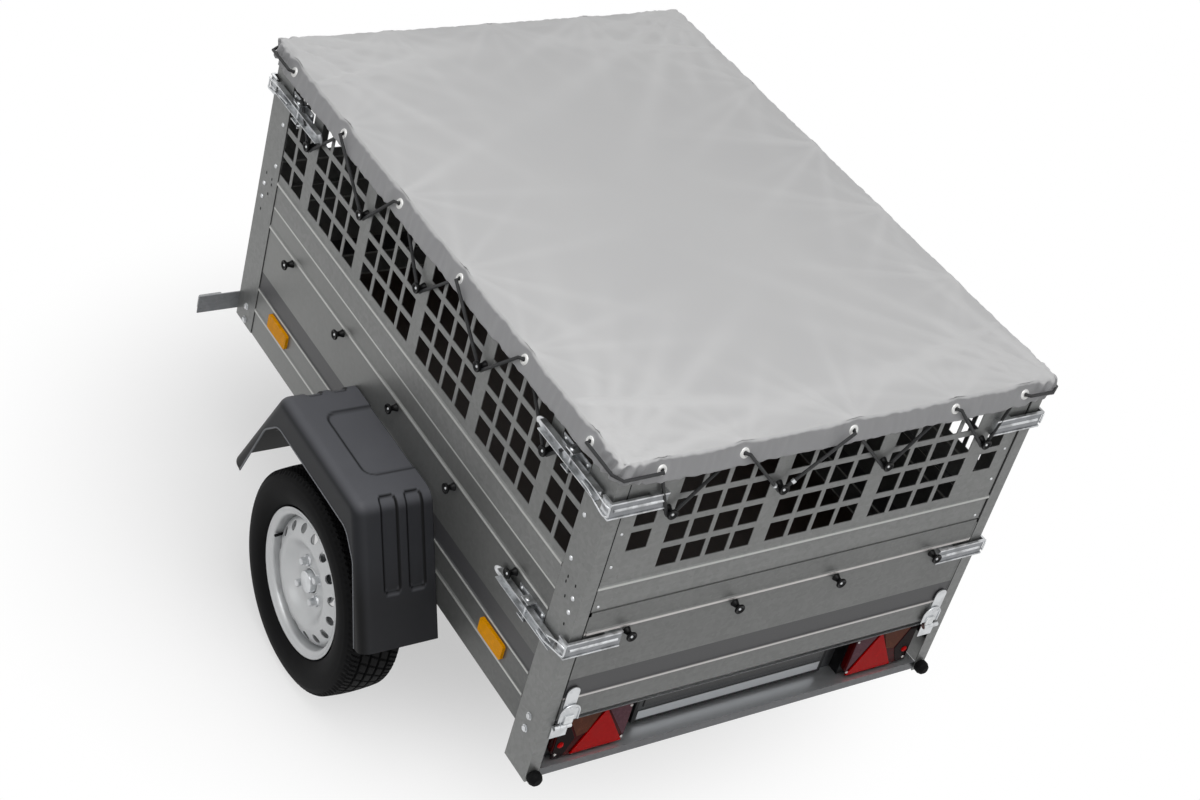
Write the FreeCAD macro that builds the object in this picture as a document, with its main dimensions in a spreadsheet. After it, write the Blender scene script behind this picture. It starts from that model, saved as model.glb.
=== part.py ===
import FreeCAD, Part
import operator
import os
import Sketcher

# Utility trailer with mesh side extensions and a flat cover, standing on its two wheels and its jockey wheel.
# Millimetres. X points forward, Y to the left and Z up, with Z = 0 at the ground.
# X = 0 and Y = 0 are the middle of the whole trailer.

DRIVING_SIZES = {
    # body
    "body_length": 1560,
    "body_width": 1124,
    "body_clearance": 460,
    "side_height": 386,
    "mesh_height": 406,
    "nose_reach": 840,
    "skin": 2,
    "panel_flange": 30,
    "panel_top_flange": 16,
    "post_side_flange": 88,
    "post_end_flange": 31,
    "rear_post_drop": 105,
    "crease_width": 14,
    "crease_crown": 5,
    "crease_height": 3,
    "crease_end_gap": 2,
    "top_crease_drop": 59,
    "stripe_crease_height": 138,
    "low_crease_height": 73,
    "mesh_crease_rise": 66,
    "floor_height": 61,
    "floor_thickness": 9,
    # mesh
    "cell_web": 11.5,
    "gang_web": 42,
    "row_web": 15.5,
    "mesh_margin": 89.5,
    "end_mesh_margin": 72.75,
    "mesh_low_band": 93,
    "mesh_top_band": 64.5,
    # chassis
    "rail_size": 40,
    "rail_wall": 3,
    "rail_offset": 330,
    "cross_size": 40,
    "cross_wall": 3,
    "cross_flange_gap": 4,
    "front_cross_margin": 80,
    "rear_cross_place": 420,
    "drawbar_size": 60,
    "drawbar_wall": 4,
    "drawbar_tail": 640,
    "recess_depth": 58,
    "shelf_height": -75,
    "lip_bottom": -98,
    # axle and wheels
    "axle_from_rear": 775,
    "axle_tube": 50,
    "axle_lead": 140,
    "arm_width": 44,
    "arm_thickness": 22,
    "arm_gap": 12,
    "stub_radius": 15,
    "seat_plate_length": 110,
    "seat_plate_width": 70,
    "wheel_clearance": 15.5,
    "bead_radius": 165,
    "tyre_height": 108.5,
    "tyre_width": 155,
    "bead_width": 112,
    "lip_rise": 17.4,
    "lip_thickness": 5,
    "lip_stand": 2.3,
    "rim_wall": 4,
    "well_drop": 23,
    "well_width": 46,
    "disc_shoulder_drop": 53,
    "disc_shoulder_lift": 30,
    "disc_root_lift": 6,
    "dish_drop": 81,
    "dish_lift": 12,
    "hub_hole_radius": 29,
    "vent_radius": 10,
    "vent_drop": 41,
    "hub_flange_margin": 22,
    "hub_body_radius": 36,
    "hub_inboard": 76,
    "cap_length": 22,
    "running_gap": 0.3,
    # mudguard
    "guard_wall": 3.5,
    "guard_side_room": 20.5,
    "guard_below_knobs": 71,
    "guard_top_half": 197,
    "guard_foot_half": 352,
    "guard_foot_height": -68,
    "guard_tip_half": 312,
    "guard_tip_height": -82,
    "guard_arch_half": 233,
    "guard_arch_depth": 130,
    "guard_skirt_half": 178,
    "guard_skirt_depth": 78,
    "guard_lead": 9,
    "guard_bend": 34,
    "guard_roll": 24,
    "guard_step_depth": 1.6,
    "guard_step_half": 92,
    "guard_step_reach": 96,
    "guard_step_corner": 18,
    # tailgate
    "gate_bottom": 74,
    "gate_side_gap": 6,
    "gate_top_gap": 8,
    "gate_depth": 20,
    "hinge_reach": 8,
    "hinge_height": 60,
    "hinge_radius": 6,
    "hinge_pin_radius": 3,
    "hinge_inset": 48,
    "hinge_width": 42,
    "hinge_knuckle": 14,
    "hinge_slit": 0.6,
    "hinge_strap_top": 172,
    "hinge_leaf": 2.5,
    "hinge_foot": 22,
    # lamps, plate, reflectors, buffers
    "lamp_inset": 54,
    "lamp_length": 202,
    "lamp_plate_gap": 38,
    "lamp_bottom": -74,
    "lamp_top": 60,
    "lamp_case_depth": 30,
    "lens_depth": 16,
    "lens_margin": 5,
    "triangle_side": 118,
    "triangle_depth": 3,
    "plate_height": 112,
    "plate_thickness": 2,
    "plate_low": -62,
    "holder_depth": 10,
    "holder_rim": 8,
    "reflector_length": 100,
    "reflector_height": 40,
    "reflector_depth": 8,
    "reflector_rear_place": 235,
    "reflector_front_margin": 220,
    "reflector_centre_height": 104,
    "marker_low": 16,
    "marker_height": 50,
    "marker_reach": 110,
    "marker_plate": 3,
    "marker_lap": 24,
    "marker_lamp_length": 62,
    "marker_lamp_height": 40,
    "marker_lamp_depth": 12,
    "buffer_radius": 17,
    "buffer_length": 26,
    "buffer_nose": 11,
    "buffer_height": -87,
    # knobs, cover, latches
    "knob_length": 24,
    "knob_base_radius": 7,
    "knob_neck_radius": 4.5,
    "knob_head_radius": 11,
    "knob_head_length": 6,
    "upper_knob_drop": 147,
    "lower_knob_drop": 77,
    "cover_cloth": 2.5,
    "cover_play": 0.3,
    "cover_stand": 8,
    "cover_hang": 54,
    "cover_corner": 14,
    "latch_above_knobs": 13,
    "latch_below_knobs": 32,
    "lever_above_knobs": 18,
    "lever_below_knobs": 54,
    "latch_strap": 42,
    "latch_metal": 3,
    "latch_stand": 5.5,
    "latch_knob_gap": 16.25,
    "latch_side_reach": 21,
    "latch_rim": 2.5,
    "latch_rim_height": 4,
    "lever_start": 31,
    "lever_end": 258,
    "lever_height": 50,
    "lever_depth": 14,
    "lever_plate": 2,
    "lever_plate_length": 104,
    "lever_pin_radius": 3.5,
    "latch_foot": 14,
    # coupling and jockey wheel
    "ball_radius": 25.5,
    "socket_length": 20,
    "socket_wall": 6,
    "coupling_lap": 90,
    "handle_length": 120,
    "handle_width": 34,
    "handle_thickness": 4,
    "handle_rise": 46,
    "jockey_from_nose": 320,
    "jockey_tube_radius": 24,
    "jockey_bore_radius": 18,
    "jockey_tube_low": 290,
    "jockey_tube_top": 640,
    "jockey_leg_radius": 17.5,
    "jockey_leg_top": 372,
    "jockey_wheel_radius": 100,
    "jockey_wheel_width": 46,
    "jockey_hub_radius": 62,
    "jockey_rim_width": 40,
    "jockey_axle_radius": 8,
    "jockey_trail": 42,
    "fork_gap": 6,
    "fork_plate": 4,
    "fork_width": 40,
    "fork_lift": 8,
    "fork_crown": 8,
    "clamp_wall": 7,
    "clamp_height": 46,
    "clamp_gap": 14,
    "clamp_screw_radius": 6,
    "clamp_screw_length": 60,
    "crank_lift": 26,
    "crank_length": 130,
    "crank_radius": 7,
    "crank_grip_radius": 13,
    "crank_grip_length": 90,
    "cut_over": 4,
}
VENTS = range(16)
SIDE_GANGS = range(5)
END_GANGS = range(3)
END_COLUMNS = range(4)
HALF_GANG_COLUMNS = range(2)
ROWS = range(4)
CORNER_ROWS = range(2)
CORNER_COLUMNS = range(2)
FULL_TURN = 360
EVEN_TRIANGLE_SHARE = 0.866
TREAD_SHARE = 0.87
NO_TURN = FreeCAD.Rotation()
HALF_TURN = FreeCAD.Rotation(FreeCAD.Vector(0, 0, 1), 180)

document = FreeCAD.newDocument("utility_trailer")
sheet = document.addObject("Spreadsheet::Sheet", "sizes")
for row, (word, number) in enumerate(DRIVING_SIZES.items(), 1):
    sheet.set("A%d" % row, word)
    sheet.set("B%d" % row, str(number))
    sheet.setAlias("B%d" % row, word)
document.recompute()

SUMS = {"+": operator.add, "-": operator.sub, "*": operator.mul, "/": operator.truediv}


class Size:
    """A length together with the sheet expression that gives it."""

    def __init__(self, number, text):
        self.number = number
        self.text = text

    def __add__(self, other):
        return joined(self, "+", other)

    def __radd__(self, other):
        return joined(other, "+", self)

    def __sub__(self, other):
        return joined(self, "-", other)

    def __rsub__(self, other):
        return joined(other, "-", self)

    def __mul__(self, other):
        return joined(self, "*", other)

    def __rmul__(self, other):
        return joined(other, "*", self)

    def __truediv__(self, other):
        return joined(self, "/", other)

    def __neg__(self):
        return joined(0, "-", self)


def as_size(thing):
    return thing if isinstance(thing, Size) else Size(thing, "(%s)" % thing)


def joined(left, sign, right):
    left, right = as_size(left), as_size(right)
    number = SUMS[sign](left.number, right.number)
    return Size(number, "(%s %s %s)" % (left.text, sign, right.text))


class Sizes:
    """Gives each driving size by its name."""

    def __getattr__(self, word):
        return Size(DRIVING_SIZES[word], "sizes.%s" % word)


d = Sizes()
nodes = {}


# helpers for the model tree
def keep(label, thing):
    thing.Label = label
    nodes[label] = thing
    return thing


def bind(thing, **lengths):
    for name, length in lengths.items():
        thing.setExpression(name, as_size(length).text)


def place(thing, x=0, y=0, z=0):
    for axis, length in zip("xyz", (x, y, z)):
        thing.setExpression("Placement.Base." + axis, as_size(length).text)
    return thing


def new_body(name):
    return document.addObject("PartDesign::Body", name)


def origin_part(body, role):
    return [item for item in body.Origin.OriginFeatures if item.Role == role][0]


PLANES = {"X": "YZ_Plane", "Y": "XZ_Plane", "Z": "XY_Plane"}


def sketch(body, across, points, at=(0, 0, 0)):
    """Draws a closed outline square to one axis, its points counted from the place given."""
    drawing = body.newObject("Sketcher::SketchObject", body.Name + "_outline")
    drawing.AttachmentSupport = [(origin_part(body, PLANES[across]), "")]
    drawing.MapMode = "FlatFace"
    x, y, z = at
    shifts = {"X": (y, z, x), "Y": (x, z, -as_size(y)), "Z": (x, y, z)}[across]
    for axis, length in zip("xyz", shifts):
        drawing.setExpression("AttachmentOffset.Base." + axis, as_size(length).text)
    corners = [(as_size(a), as_size(b)) for a, b in points]
    spots = [FreeCAD.Vector(a.number, b.number, 0) for a, b in corners]
    for here, there in zip(spots, spots[1:] + spots[:1]):
        drawing.addGeometry(Part.LineSegment(here, there))
    for index in range(len(corners)):
        drawing.addConstraint(Sketcher.Constraint("Coincident", index, 2, (index + 1) % len(corners), 1))
    for index, pair in enumerate(corners):
        for way, length in zip(("DistanceX", "DistanceY"), pair):
            number = drawing.addConstraint(Sketcher.Constraint(way, -1, 1, index, 1, length.number))
            drawing.setExpression("Constraints[%d]" % number, length.text)
    return drawing


def circle_sketch(body, across, radius, at):
    """Draws a circle square to one axis, centred at the place given."""
    drawing = sketch(body, across, [], at)
    centre = FreeCAD.Vector(0, 0, 0)
    drawing.addGeometry(Part.Circle(centre, FreeCAD.Vector(0, 0, 1), radius.number))
    drawing.addConstraint(Sketcher.Constraint("Coincident", 0, 3, -1, 1))
    number = drawing.addConstraint(Sketcher.Constraint("Radius", 0, radius.number))
    drawing.setExpression("Constraints[%d]" % number, radius.text)
    return drawing


def start_place(across, low, high):
    # an outline drawn square to Y faces backwards along it, so it starts at the high end
    return {"X": (low, 0, 0), "Y": (0, high, 0), "Z": (0, 0, low)}[across]


def grow(body, across, points, low, high, kind="PartDesign::Pad"):
    """Pads or pockets an outline from one height to another along an axis."""
    feature = body.newObject(kind, body.Name + "_" + kind.split("::")[1].lower())
    feature.Profile = sketch(body, across, points, start_place(across, low, high))
    bind(feature, Length=high - low)
    feature.Reversed = kind == "PartDesign::Pocket"
    body.Tip = feature
    return feature


def drill(body, across, radius, at, length):
    """Cuts a round hole from the place given, along the way that the outline faces."""
    feature = body.newObject("PartDesign::Pocket", body.Name + "_hole")
    feature.Profile = circle_sketch(body, across, radius, at)
    bind(feature, Length=length)
    feature.Reversed = True
    body.Tip = feature
    return feature


def bar(name, across, points, low, high):
    body = new_body(name)
    grow(body, across, points, low, high)
    return body


def turned(body, points, at, axis, kind="PartDesign::Revolution"):
    """Turns an outline of (radius, place along the axis) points about an axis through a place."""
    across = {"X": "Z", "Y": "Z", "Z": "Y"}[axis]
    ordered = [(b, a) for a, b in points] if axis == "X" else points
    drawing = sketch(body, across, ordered, at)
    feature = body.newObject(kind, body.Name + "_turned")
    feature.Profile = drawing
    feature.ReferenceAxis = (drawing, ["H_Axis" if axis == "X" else "V_Axis"])
    feature.Angle = FULL_TURN
    body.Tip = feature
    return feature


def spread(body, features, axis, span, count):
    """Repeats features along an axis, the last one a whole span from the first."""
    pattern = body.newObject("PartDesign::LinearPattern", body.Name + "_row")
    pattern.Originals = features
    pattern.Direction = (origin_part(body, axis + "_Axis"), [""])
    bind(pattern, Length=span)
    pattern.Occurrences = count
    body.Tip = pattern
    return pattern


def spread_grid(body, features, steps):
    """Repeats features along several axes at once: each step is (axis, span, count)."""
    pattern = body.newObject("PartDesign::MultiTransform", body.Name + "_grid")
    pattern.Originals = features
    rows = []
    for axis, span, count in steps:
        line = body.newObject("PartDesign::LinearPattern", body.Name + "_line")
        line.Direction = (origin_part(body, axis + "_Axis"), [""])
        bind(line, Length=span)
        line.Occurrences = count
        rows.append(line)
    pattern.Transformations = rows
    body.Tip = pattern
    return pattern


def round_edges(body, radius, chosen):
    """Rounds the edges of a body that a test picks."""
    document.recompute()
    base = body.Tip
    names = ["Edge%d" % number for number, edge in enumerate(base.Shape.Edges, 1) if chosen(edge)]
    fillet = body.newObject("PartDesign::Fillet", body.Name + "_round")
    fillet.Base = (base, names)
    bind(fillet, Radius=radius)
    body.Tip = fillet
    return fillet


def parallel_to(axis):
    """A test for straight edges that run along an axis."""
    def test(edge):
        return abs(getattr(edge.tangentAt(edge.FirstParameter), axis.lower())) > 0.99
    return test


def nearest_to(spots):
    """A test for edges whose middle lies at one of the places given."""
    marks = [FreeCAD.Vector(*(as_size(length).number for length in spot)) for spot in spots]

    def test(edge):
        return min(edge.CenterOfMass.distanceToPoint(mark) for mark in marks) < 1
    return test


def box(name, lows, highs):
    block = document.addObject("Part::Box", name)
    bind(block, Length=highs[0] - lows[0], Width=highs[1] - lows[1], Height=highs[2] - lows[2])
    return place(block, *lows)


TURNS = {
    "X": FreeCAD.Rotation(FreeCAD.Vector(0, 1, 0), 90),
    "Y": FreeCAD.Rotation(FreeCAD.Vector(1, 0, 0), -90),
    "Z": FreeCAD.Rotation(),
}


def rod(name, axis, radius, at, length):
    """A round bar from a place along an axis."""
    cylinder = document.addObject("Part::Cylinder", name)
    cylinder.Placement = FreeCAD.Placement(FreeCAD.Vector(), TURNS[axis])
    bind(cylinder, Radius=radius, Height=length)
    return place(cylinder, *at)


def dome_over(name, radius, at):
    """The upper half of a ball."""
    ball = document.addObject("Part::Sphere", name)
    ball.Angle1 = 0
    bind(ball, Radius=radius)
    return place(ball, *at)


def fused(name, pieces):
    whole = document.addObject("Part::MultiFuse", name)
    whole.Shapes = pieces
    whole.Refine = True
    return whole


def without(name, piece, tool):
    rest = document.addObject("Part::Cut", name)
    rest.Base = piece
    rest.Tool = tool
    return rest


def group(name, pieces):
    whole = document.addObject("Part::Compound", name)
    whole.Links = pieces
    return whole


def other_hand(name, piece):
    copy = document.addObject("Part::Mirroring", name)
    copy.Source = piece
    copy.Normal = FreeCAD.Vector(0, 1, 0)
    return copy


def pair(label, piece):
    """Keeps a left-hand piece and its right-hand copy as two nodes."""
    keep(label + "_left", piece)
    keep(label + "_right", other_hand(label + "_right", piece))


def couple(label, piece):
    """Keeps a left-hand piece and its right-hand copy as one node."""
    keep(label, group(label, [piece, other_hand(label + "_other", piece)]))


# places that many pieces share
half = d.body_width / 2
rear = -(d.body_length + d.nose_reach - d.buffer_length) / 2
front = rear + d.body_length
waist = d.body_clearance + d.side_height
brim = waist + d.mesh_height
panel_face = half - d.skin
panel_back = panel_face - d.skin
floor_low = d.body_clearance + d.floor_height
floor_top = floor_low + d.floor_thickness
rail_low = floor_low - d.rail_size
cross_low = rail_low - d.cross_size
drawbar_low = cross_low - d.drawbar_size
axle_low = drawbar_low - d.axle_tube
tyre_radius = d.bead_radius + d.tyre_height
dish_radius = d.bead_radius - d.dish_drop
wheel_x = rear + d.axle_from_rear
wheel_y = half + d.wheel_clearance + d.tyre_width / 2
upper_knob_height = d.side_height + d.mesh_height - d.upper_knob_drop
lower_knob_height = d.side_height - d.lower_knob_drop
top_crease_height = d.side_height - d.top_crease_drop
mesh_crease_height = d.side_height + d.mesh_crease_rise


def above(height):
    """A height counted from the bottom edge of the side panels."""
    return d.body_clearance + height


def crease(face, middle):
    """The outline of a pressed ridge that stands out of a flat panel."""
    foot, crown = d.crease_width / 2, d.crease_crown / 2
    top = face + d.crease_height
    return [(face, middle - foot), (top, middle - crown), (top, middle + crown), (face, middle + foot)]


# side and front panels: folded sheet with pressed ridges that stop short of the corner posts
def folded_panel(name, across, face, back, low, high, base, top, ridges, ends):
    """A sheet with a flange folded inwards along its bottom and top edges."""
    inner, upper = face - d.panel_flange, face - d.panel_top_flange
    outline = [
        (face, base), (face, top), (upper, top), (upper, top - d.skin), (back, top - d.skin),
        (back, base + d.skin), (inner, base + d.skin), (inner, base),
    ]
    body = bar(name, across, outline, low, high)
    for ridge in ridges:
        grow(body, across, crease(face, above(ridge)), *ends)
    return body


front_face = front - d.skin
front_back = front_face - d.skin
side_ends = (rear + d.post_side_flange + d.crease_end_gap, front - d.post_side_flange - d.crease_end_gap)
side_ridges = [d.low_crease_height, d.stripe_crease_height, top_crease_height]
side_panel = folded_panel(
    "side_panel", "X", panel_face, panel_back, rear + d.skin, front_back,
    d.body_clearance, waist, side_ridges, side_ends)
pair("side_panel", side_panel)

# the front panel lies behind the end flanges of the front posts, and closes the ends of the side panels
end_half = panel_back
fold_half = panel_face - d.panel_top_flange
front_panel = bar("front_panel", "Y", [
    (front_face, d.body_clearance), (front_face, waist), (front_back, waist), (front_back, d.body_clearance)],
    -end_half, end_half)
front_fold = front_face - d.panel_top_flange
grow(front_panel, "Y", [
    (front_back, waist), (front_fold, waist), (front_fold, waist - d.skin), (front_back, waist - d.skin)],
    -fold_half, fold_half)
ridge_half = half - d.post_end_flange - d.crease_end_gap
for ridge in side_ridges:
    grow(front_panel, "Y", crease(front_face, above(ridge)), -ridge_half, ridge_half)
keep("front_panel", front_panel)


# corner posts: angles with a wide flange on the side and a narrow one on the end
def post(name, corner, inward, side_flange, low, high):
    outline = [
        (corner, half), (corner + inward * side_flange, half), (corner + inward * side_flange, panel_face),
        (corner + inward * d.skin, panel_face), (corner + inward * d.skin, half - d.post_end_flange),
        (corner, half - d.post_end_flange),
    ]
    return bar(name, "Z", outline, low, high)


post_low = d.body_clearance - d.rear_post_drop
pair("rear_post", post("rear_post", rear, 1, d.post_side_flange, post_low, waist))
pair("front_post", post("front_post", front, -1, d.post_side_flange, d.body_clearance, waist))
couple("upper_posts_rear", post("upper_post_rear", rear, 1, d.post_side_flange, waist, brim))
couple("upper_posts_front", post("upper_post_front", front, -1, d.post_side_flange, waist, brim))

# mesh panels: punched sheet, the windows in gangs of four columns with a plain web for each knob
side_mesh_span = d.body_length - 2 * d.mesh_margin
gang_pitch = (side_mesh_span + d.cell_web) / len(SIDE_GANGS)
gang_columns = 2 * len(HALF_GANG_COLUMNS)
side_cell = (gang_pitch - (gang_columns - 1) * d.cell_web - d.gang_web) / gang_columns
end_mesh_span = d.body_width - 2 * d.end_mesh_margin
end_webs = (len(END_COLUMNS) - 1) * len(END_GANGS) * d.cell_web + (len(END_GANGS) + 1) * d.gang_web
end_cell = (end_mesh_span - end_webs) / (len(END_COLUMNS) * len(END_GANGS) + 2)
end_gang_pitch = len(END_COLUMNS) * end_cell + (len(END_COLUMNS) - 1) * d.cell_web + d.gang_web
row_pitch = (d.mesh_height - d.mesh_low_band - d.mesh_top_band + d.row_web) / len(ROWS)
cell_height = row_pitch - d.row_web


def window(start, wide, row):
    low = waist + d.mesh_low_band + row * row_pitch
    return [(start, low), (start + wide, low), (start + wide, low + cell_height), (start, low + cell_height)]


def mesh_panel(name, across, face, back, inward, low, high):
    """A sheet with both edges folded inwards, its outline drawn square to the way it runs."""
    deep = face + inward * d.panel_top_flange
    outline = [
        (face, waist), (face, brim), (deep, brim), (deep, brim - d.skin), (back, brim - d.skin),
        (back, waist + d.skin), (deep, waist + d.skin), (deep, waist),
    ]
    return bar(name, across, outline, low, high)


mesh_side = mesh_panel("mesh_panel", "X", panel_face, panel_back, -1, rear + 2 * d.skin, front_back)
grow(mesh_side, "X", crease(panel_face, above(mesh_crease_height)), *side_ends)
first_cell = rear + d.mesh_margin
half_gang = 2 * side_cell + d.cell_web + d.gang_web
panel_cut = (panel_back - d.cut_over, panel_face + d.cut_over)
halves = [
    grow(mesh_side, "Y", window(start, side_cell, 0), *panel_cut, kind="PartDesign::Pocket")
    for start in (first_cell, first_cell + half_gang)]
row_step = ("Z", (len(ROWS) - 1) * row_pitch, len(ROWS))
side_steps = [
    ("X", side_cell + d.cell_web, len(HALF_GANG_COLUMNS)),
    ("X", (len(SIDE_GANGS) - 1) * gang_pitch, len(SIDE_GANGS)), row_step]
spread_grid(mesh_side, halves, side_steps)
pair("mesh_panel", mesh_side)


def end_mesh(label, face, back, outward):
    """The mesh of an end: three gangs, and one column of two windows beyond each outer knob."""
    deep = face - outward * d.panel_top_flange
    panel = bar(label, "Y", [(face, waist), (face, brim), (back, brim), (back, waist)], -end_half, end_half)
    for low, high in ((waist, waist + d.skin), (brim - d.skin, brim)):
        grow(panel, "Y", [(back, low), (back, high), (deep, high), (deep, low)], -fold_half, fold_half)
    ridge = [(face + outward * (far - face), high) for far, high in crease(face, above(mesh_crease_height))]
    grow(panel, "Y", ridge, -ridge_half, ridge_half)
    low, high = (back, face) if outward > 0 else (face, back)
    through = (low - d.cut_over, high + d.cut_over)
    gang_start = -(end_gang_pitch * len(END_GANGS) - d.gang_web) / 2
    cut = grow(panel, "X", window(gang_start, end_cell, 0), *through, kind="PartDesign::Pocket")
    steps = [
        ("Y", (len(END_COLUMNS) - 1) * (end_cell + d.cell_web), len(END_COLUMNS)),
        ("Y", (len(END_GANGS) - 1) * end_gang_pitch, len(END_GANGS)),
        row_step]
    spread_grid(panel, [cut], steps)
    corner_start = gang_start - d.gang_web - end_cell
    corner = grow(panel, "X", window(corner_start, end_cell, 1), *through, kind="PartDesign::Pocket")
    corner_steps = [
        ("Y", -2 * corner_start - end_cell, len(CORNER_COLUMNS)),
        ("Z", (len(CORNER_ROWS) - 1) * row_pitch, len(CORNER_ROWS))]
    spread_grid(panel, [corner], corner_steps)
    keep(label, panel)


end_mesh("mesh_panel_front", front_face, front_back, 1)
end_mesh("mesh_panel_rear", rear + d.skin, rear + 2 * d.skin, -1)

# floor board on two long rails and two cross members
floor_ends = (rear + d.gate_depth + d.gate_side_gap, front_back)
keep("floor_board", box(
    "floor_board", (floor_ends[0], -panel_back, floor_low), (floor_ends[1], panel_back, floor_top)))


def channel(wide, tall, wall, at):
    """A C section drawn from its lower back corner, open towards the middle of the trailer."""
    y, z = at
    return [
        (y, z), (y, z + tall), (y - wide, z + tall), (y - wide, z + tall - wall), (y - wall, z + tall - wall),
        (y - wall, z + wall), (y - wide, z + wall), (y - wide, z),
    ]


rail_outline = channel(d.rail_size, d.rail_size, d.rail_wall, (d.rail_offset, rail_low))
recess_face = rear + d.recess_depth
pair("chassis_rail", bar("chassis_rail", "X", rail_outline, recess_face + d.skin, front_back))

cross_half = half - d.panel_flange - d.cross_flange_gap
crossings = []
for name, spot in (("front_cross", front - d.front_cross_margin), ("rear_cross", rear + d.rear_cross_place)):
    cross_outline = channel(d.cross_size, d.cross_size, d.cross_wall, (spot, cross_low))
    crossings.append(bar(name, "Y", cross_outline, -cross_half, cross_half))
keep("cross_members", group("cross_members", crossings))

# rear crossmember: a pressed recess for lamps and plate, with a shelf and a lip turned down
shelf = above(d.shelf_height)
cross_outline = [
    (rear + d.skin, floor_low), (recess_face + d.skin, floor_low), (recess_face + d.skin, shelf - d.skin),
    (rear + d.skin, shelf - d.skin), (rear + d.skin, above(d.lip_bottom)), (rear, above(d.lip_bottom)),
    (rear, shelf), (recess_face, shelf), (recess_face, floor_low - d.skin),
    (rear + d.skin, floor_low - d.skin),
]
lip_half = panel_face - d.panel_flange
keep("rear_crossmember", bar("rear_crossmember", "Y", cross_outline, -lip_half, lip_half))

# drawbar: one square tube from behind the axle to the coupling
drawbar_half = d.drawbar_size / 2
nose = front + d.nose_reach
drawbar_end = nose - 2 * (d.socket_wall + d.ball_radius) - d.socket_wall
drawbar_ends = (rear + d.drawbar_tail, drawbar_end)
square = [
    (-drawbar_half, drawbar_low), (drawbar_half, drawbar_low), (drawbar_half, cross_low),
    (-drawbar_half, cross_low)]
drawbar = bar("drawbar", "X", square, *drawbar_ends)
hollow_half = drawbar_half - d.drawbar_wall
hollow = [
    (-hollow_half, drawbar_low + d.drawbar_wall), (hollow_half, drawbar_low + d.drawbar_wall),
    (hollow_half, cross_low - d.drawbar_wall), (-hollow_half, cross_low - d.drawbar_wall)]
grow(drawbar, "X", hollow, drawbar_ends[0], drawbar_ends[1], kind="PartDesign::Pocket")
keep("drawbar", drawbar)

# axle: square tube across, with a trailing arm and a stub at each end
tube_x = wheel_x + d.axle_lead
tube_half = d.axle_tube / 2
arm_outer = panel_back - d.arm_gap
arm_inner = arm_outer - d.arm_thickness
tube_mid = axle_low + tube_half
keep("axle_beam", box(
    "axle_beam", (tube_x - tube_half, -arm_inner, axle_low), (tube_x + tube_half, arm_inner, drawbar_low)))
arm_half = d.arm_width / 2
arm_slope = (tube_mid - tyre_radius) / d.axle_lead
arm_rise = arm_half * arm_slope
arm_outline = [
    (wheel_x - arm_half, tyre_radius - arm_half), (wheel_x + arm_rise, tyre_radius - arm_half),
    (tube_x + arm_half, tube_mid - arm_half), (tube_x + arm_half, tube_mid + arm_half),
    (tube_x - arm_rise, tube_mid + arm_half), (wheel_x - arm_half, tyre_radius + arm_half),
]
arm = bar("axle_arm", "Y", arm_outline, arm_inner, arm_outer)
round_edges(arm, arm_half * 2 / 5, parallel_to("Y"))
hub_face = wheel_y + d.dish_lift
stub_end = hub_face - d.skin
stub = rod("stub", "Y", d.stub_radius, (wheel_x, arm_outer, tyre_radius), stub_end - arm_outer)
pair("axle_arm", fused("axle_arm_stub", [arm, stub]))

# axle seats: plates that hold the axle up to the middle of the rails, bent round the tube
seat_low, seat_top = drawbar_low, rail_low
seats = []
seat_half = d.seat_plate_length / 2
seat_y = d.rail_offset - d.rail_size / 2
seat_inner, seat_outer = seat_y - d.seat_plate_width / 2, seat_y + d.seat_plate_width / 2
seat_outline = [
    (tube_x - seat_half, seat_low), (tube_x + seat_half, seat_low),
    (tube_x + seat_half, seat_low + d.rail_wall), (tube_x + tube_half, seat_low + d.rail_wall),
    (tube_x + tube_half, seat_top - d.rail_wall), (tube_x + seat_half, seat_top - d.rail_wall),
    (tube_x + seat_half, seat_top), (tube_x - seat_half, seat_top),
    (tube_x - seat_half, seat_top - d.rail_wall), (tube_x - tube_half, seat_top - d.rail_wall),
    (tube_x - tube_half, seat_low + d.rail_wall), (tube_x - seat_half, seat_low + d.rail_wall),
]
couple("axle_seats", bar("axle_seat", "Y", seat_outline, seat_inner, seat_outer))


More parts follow.
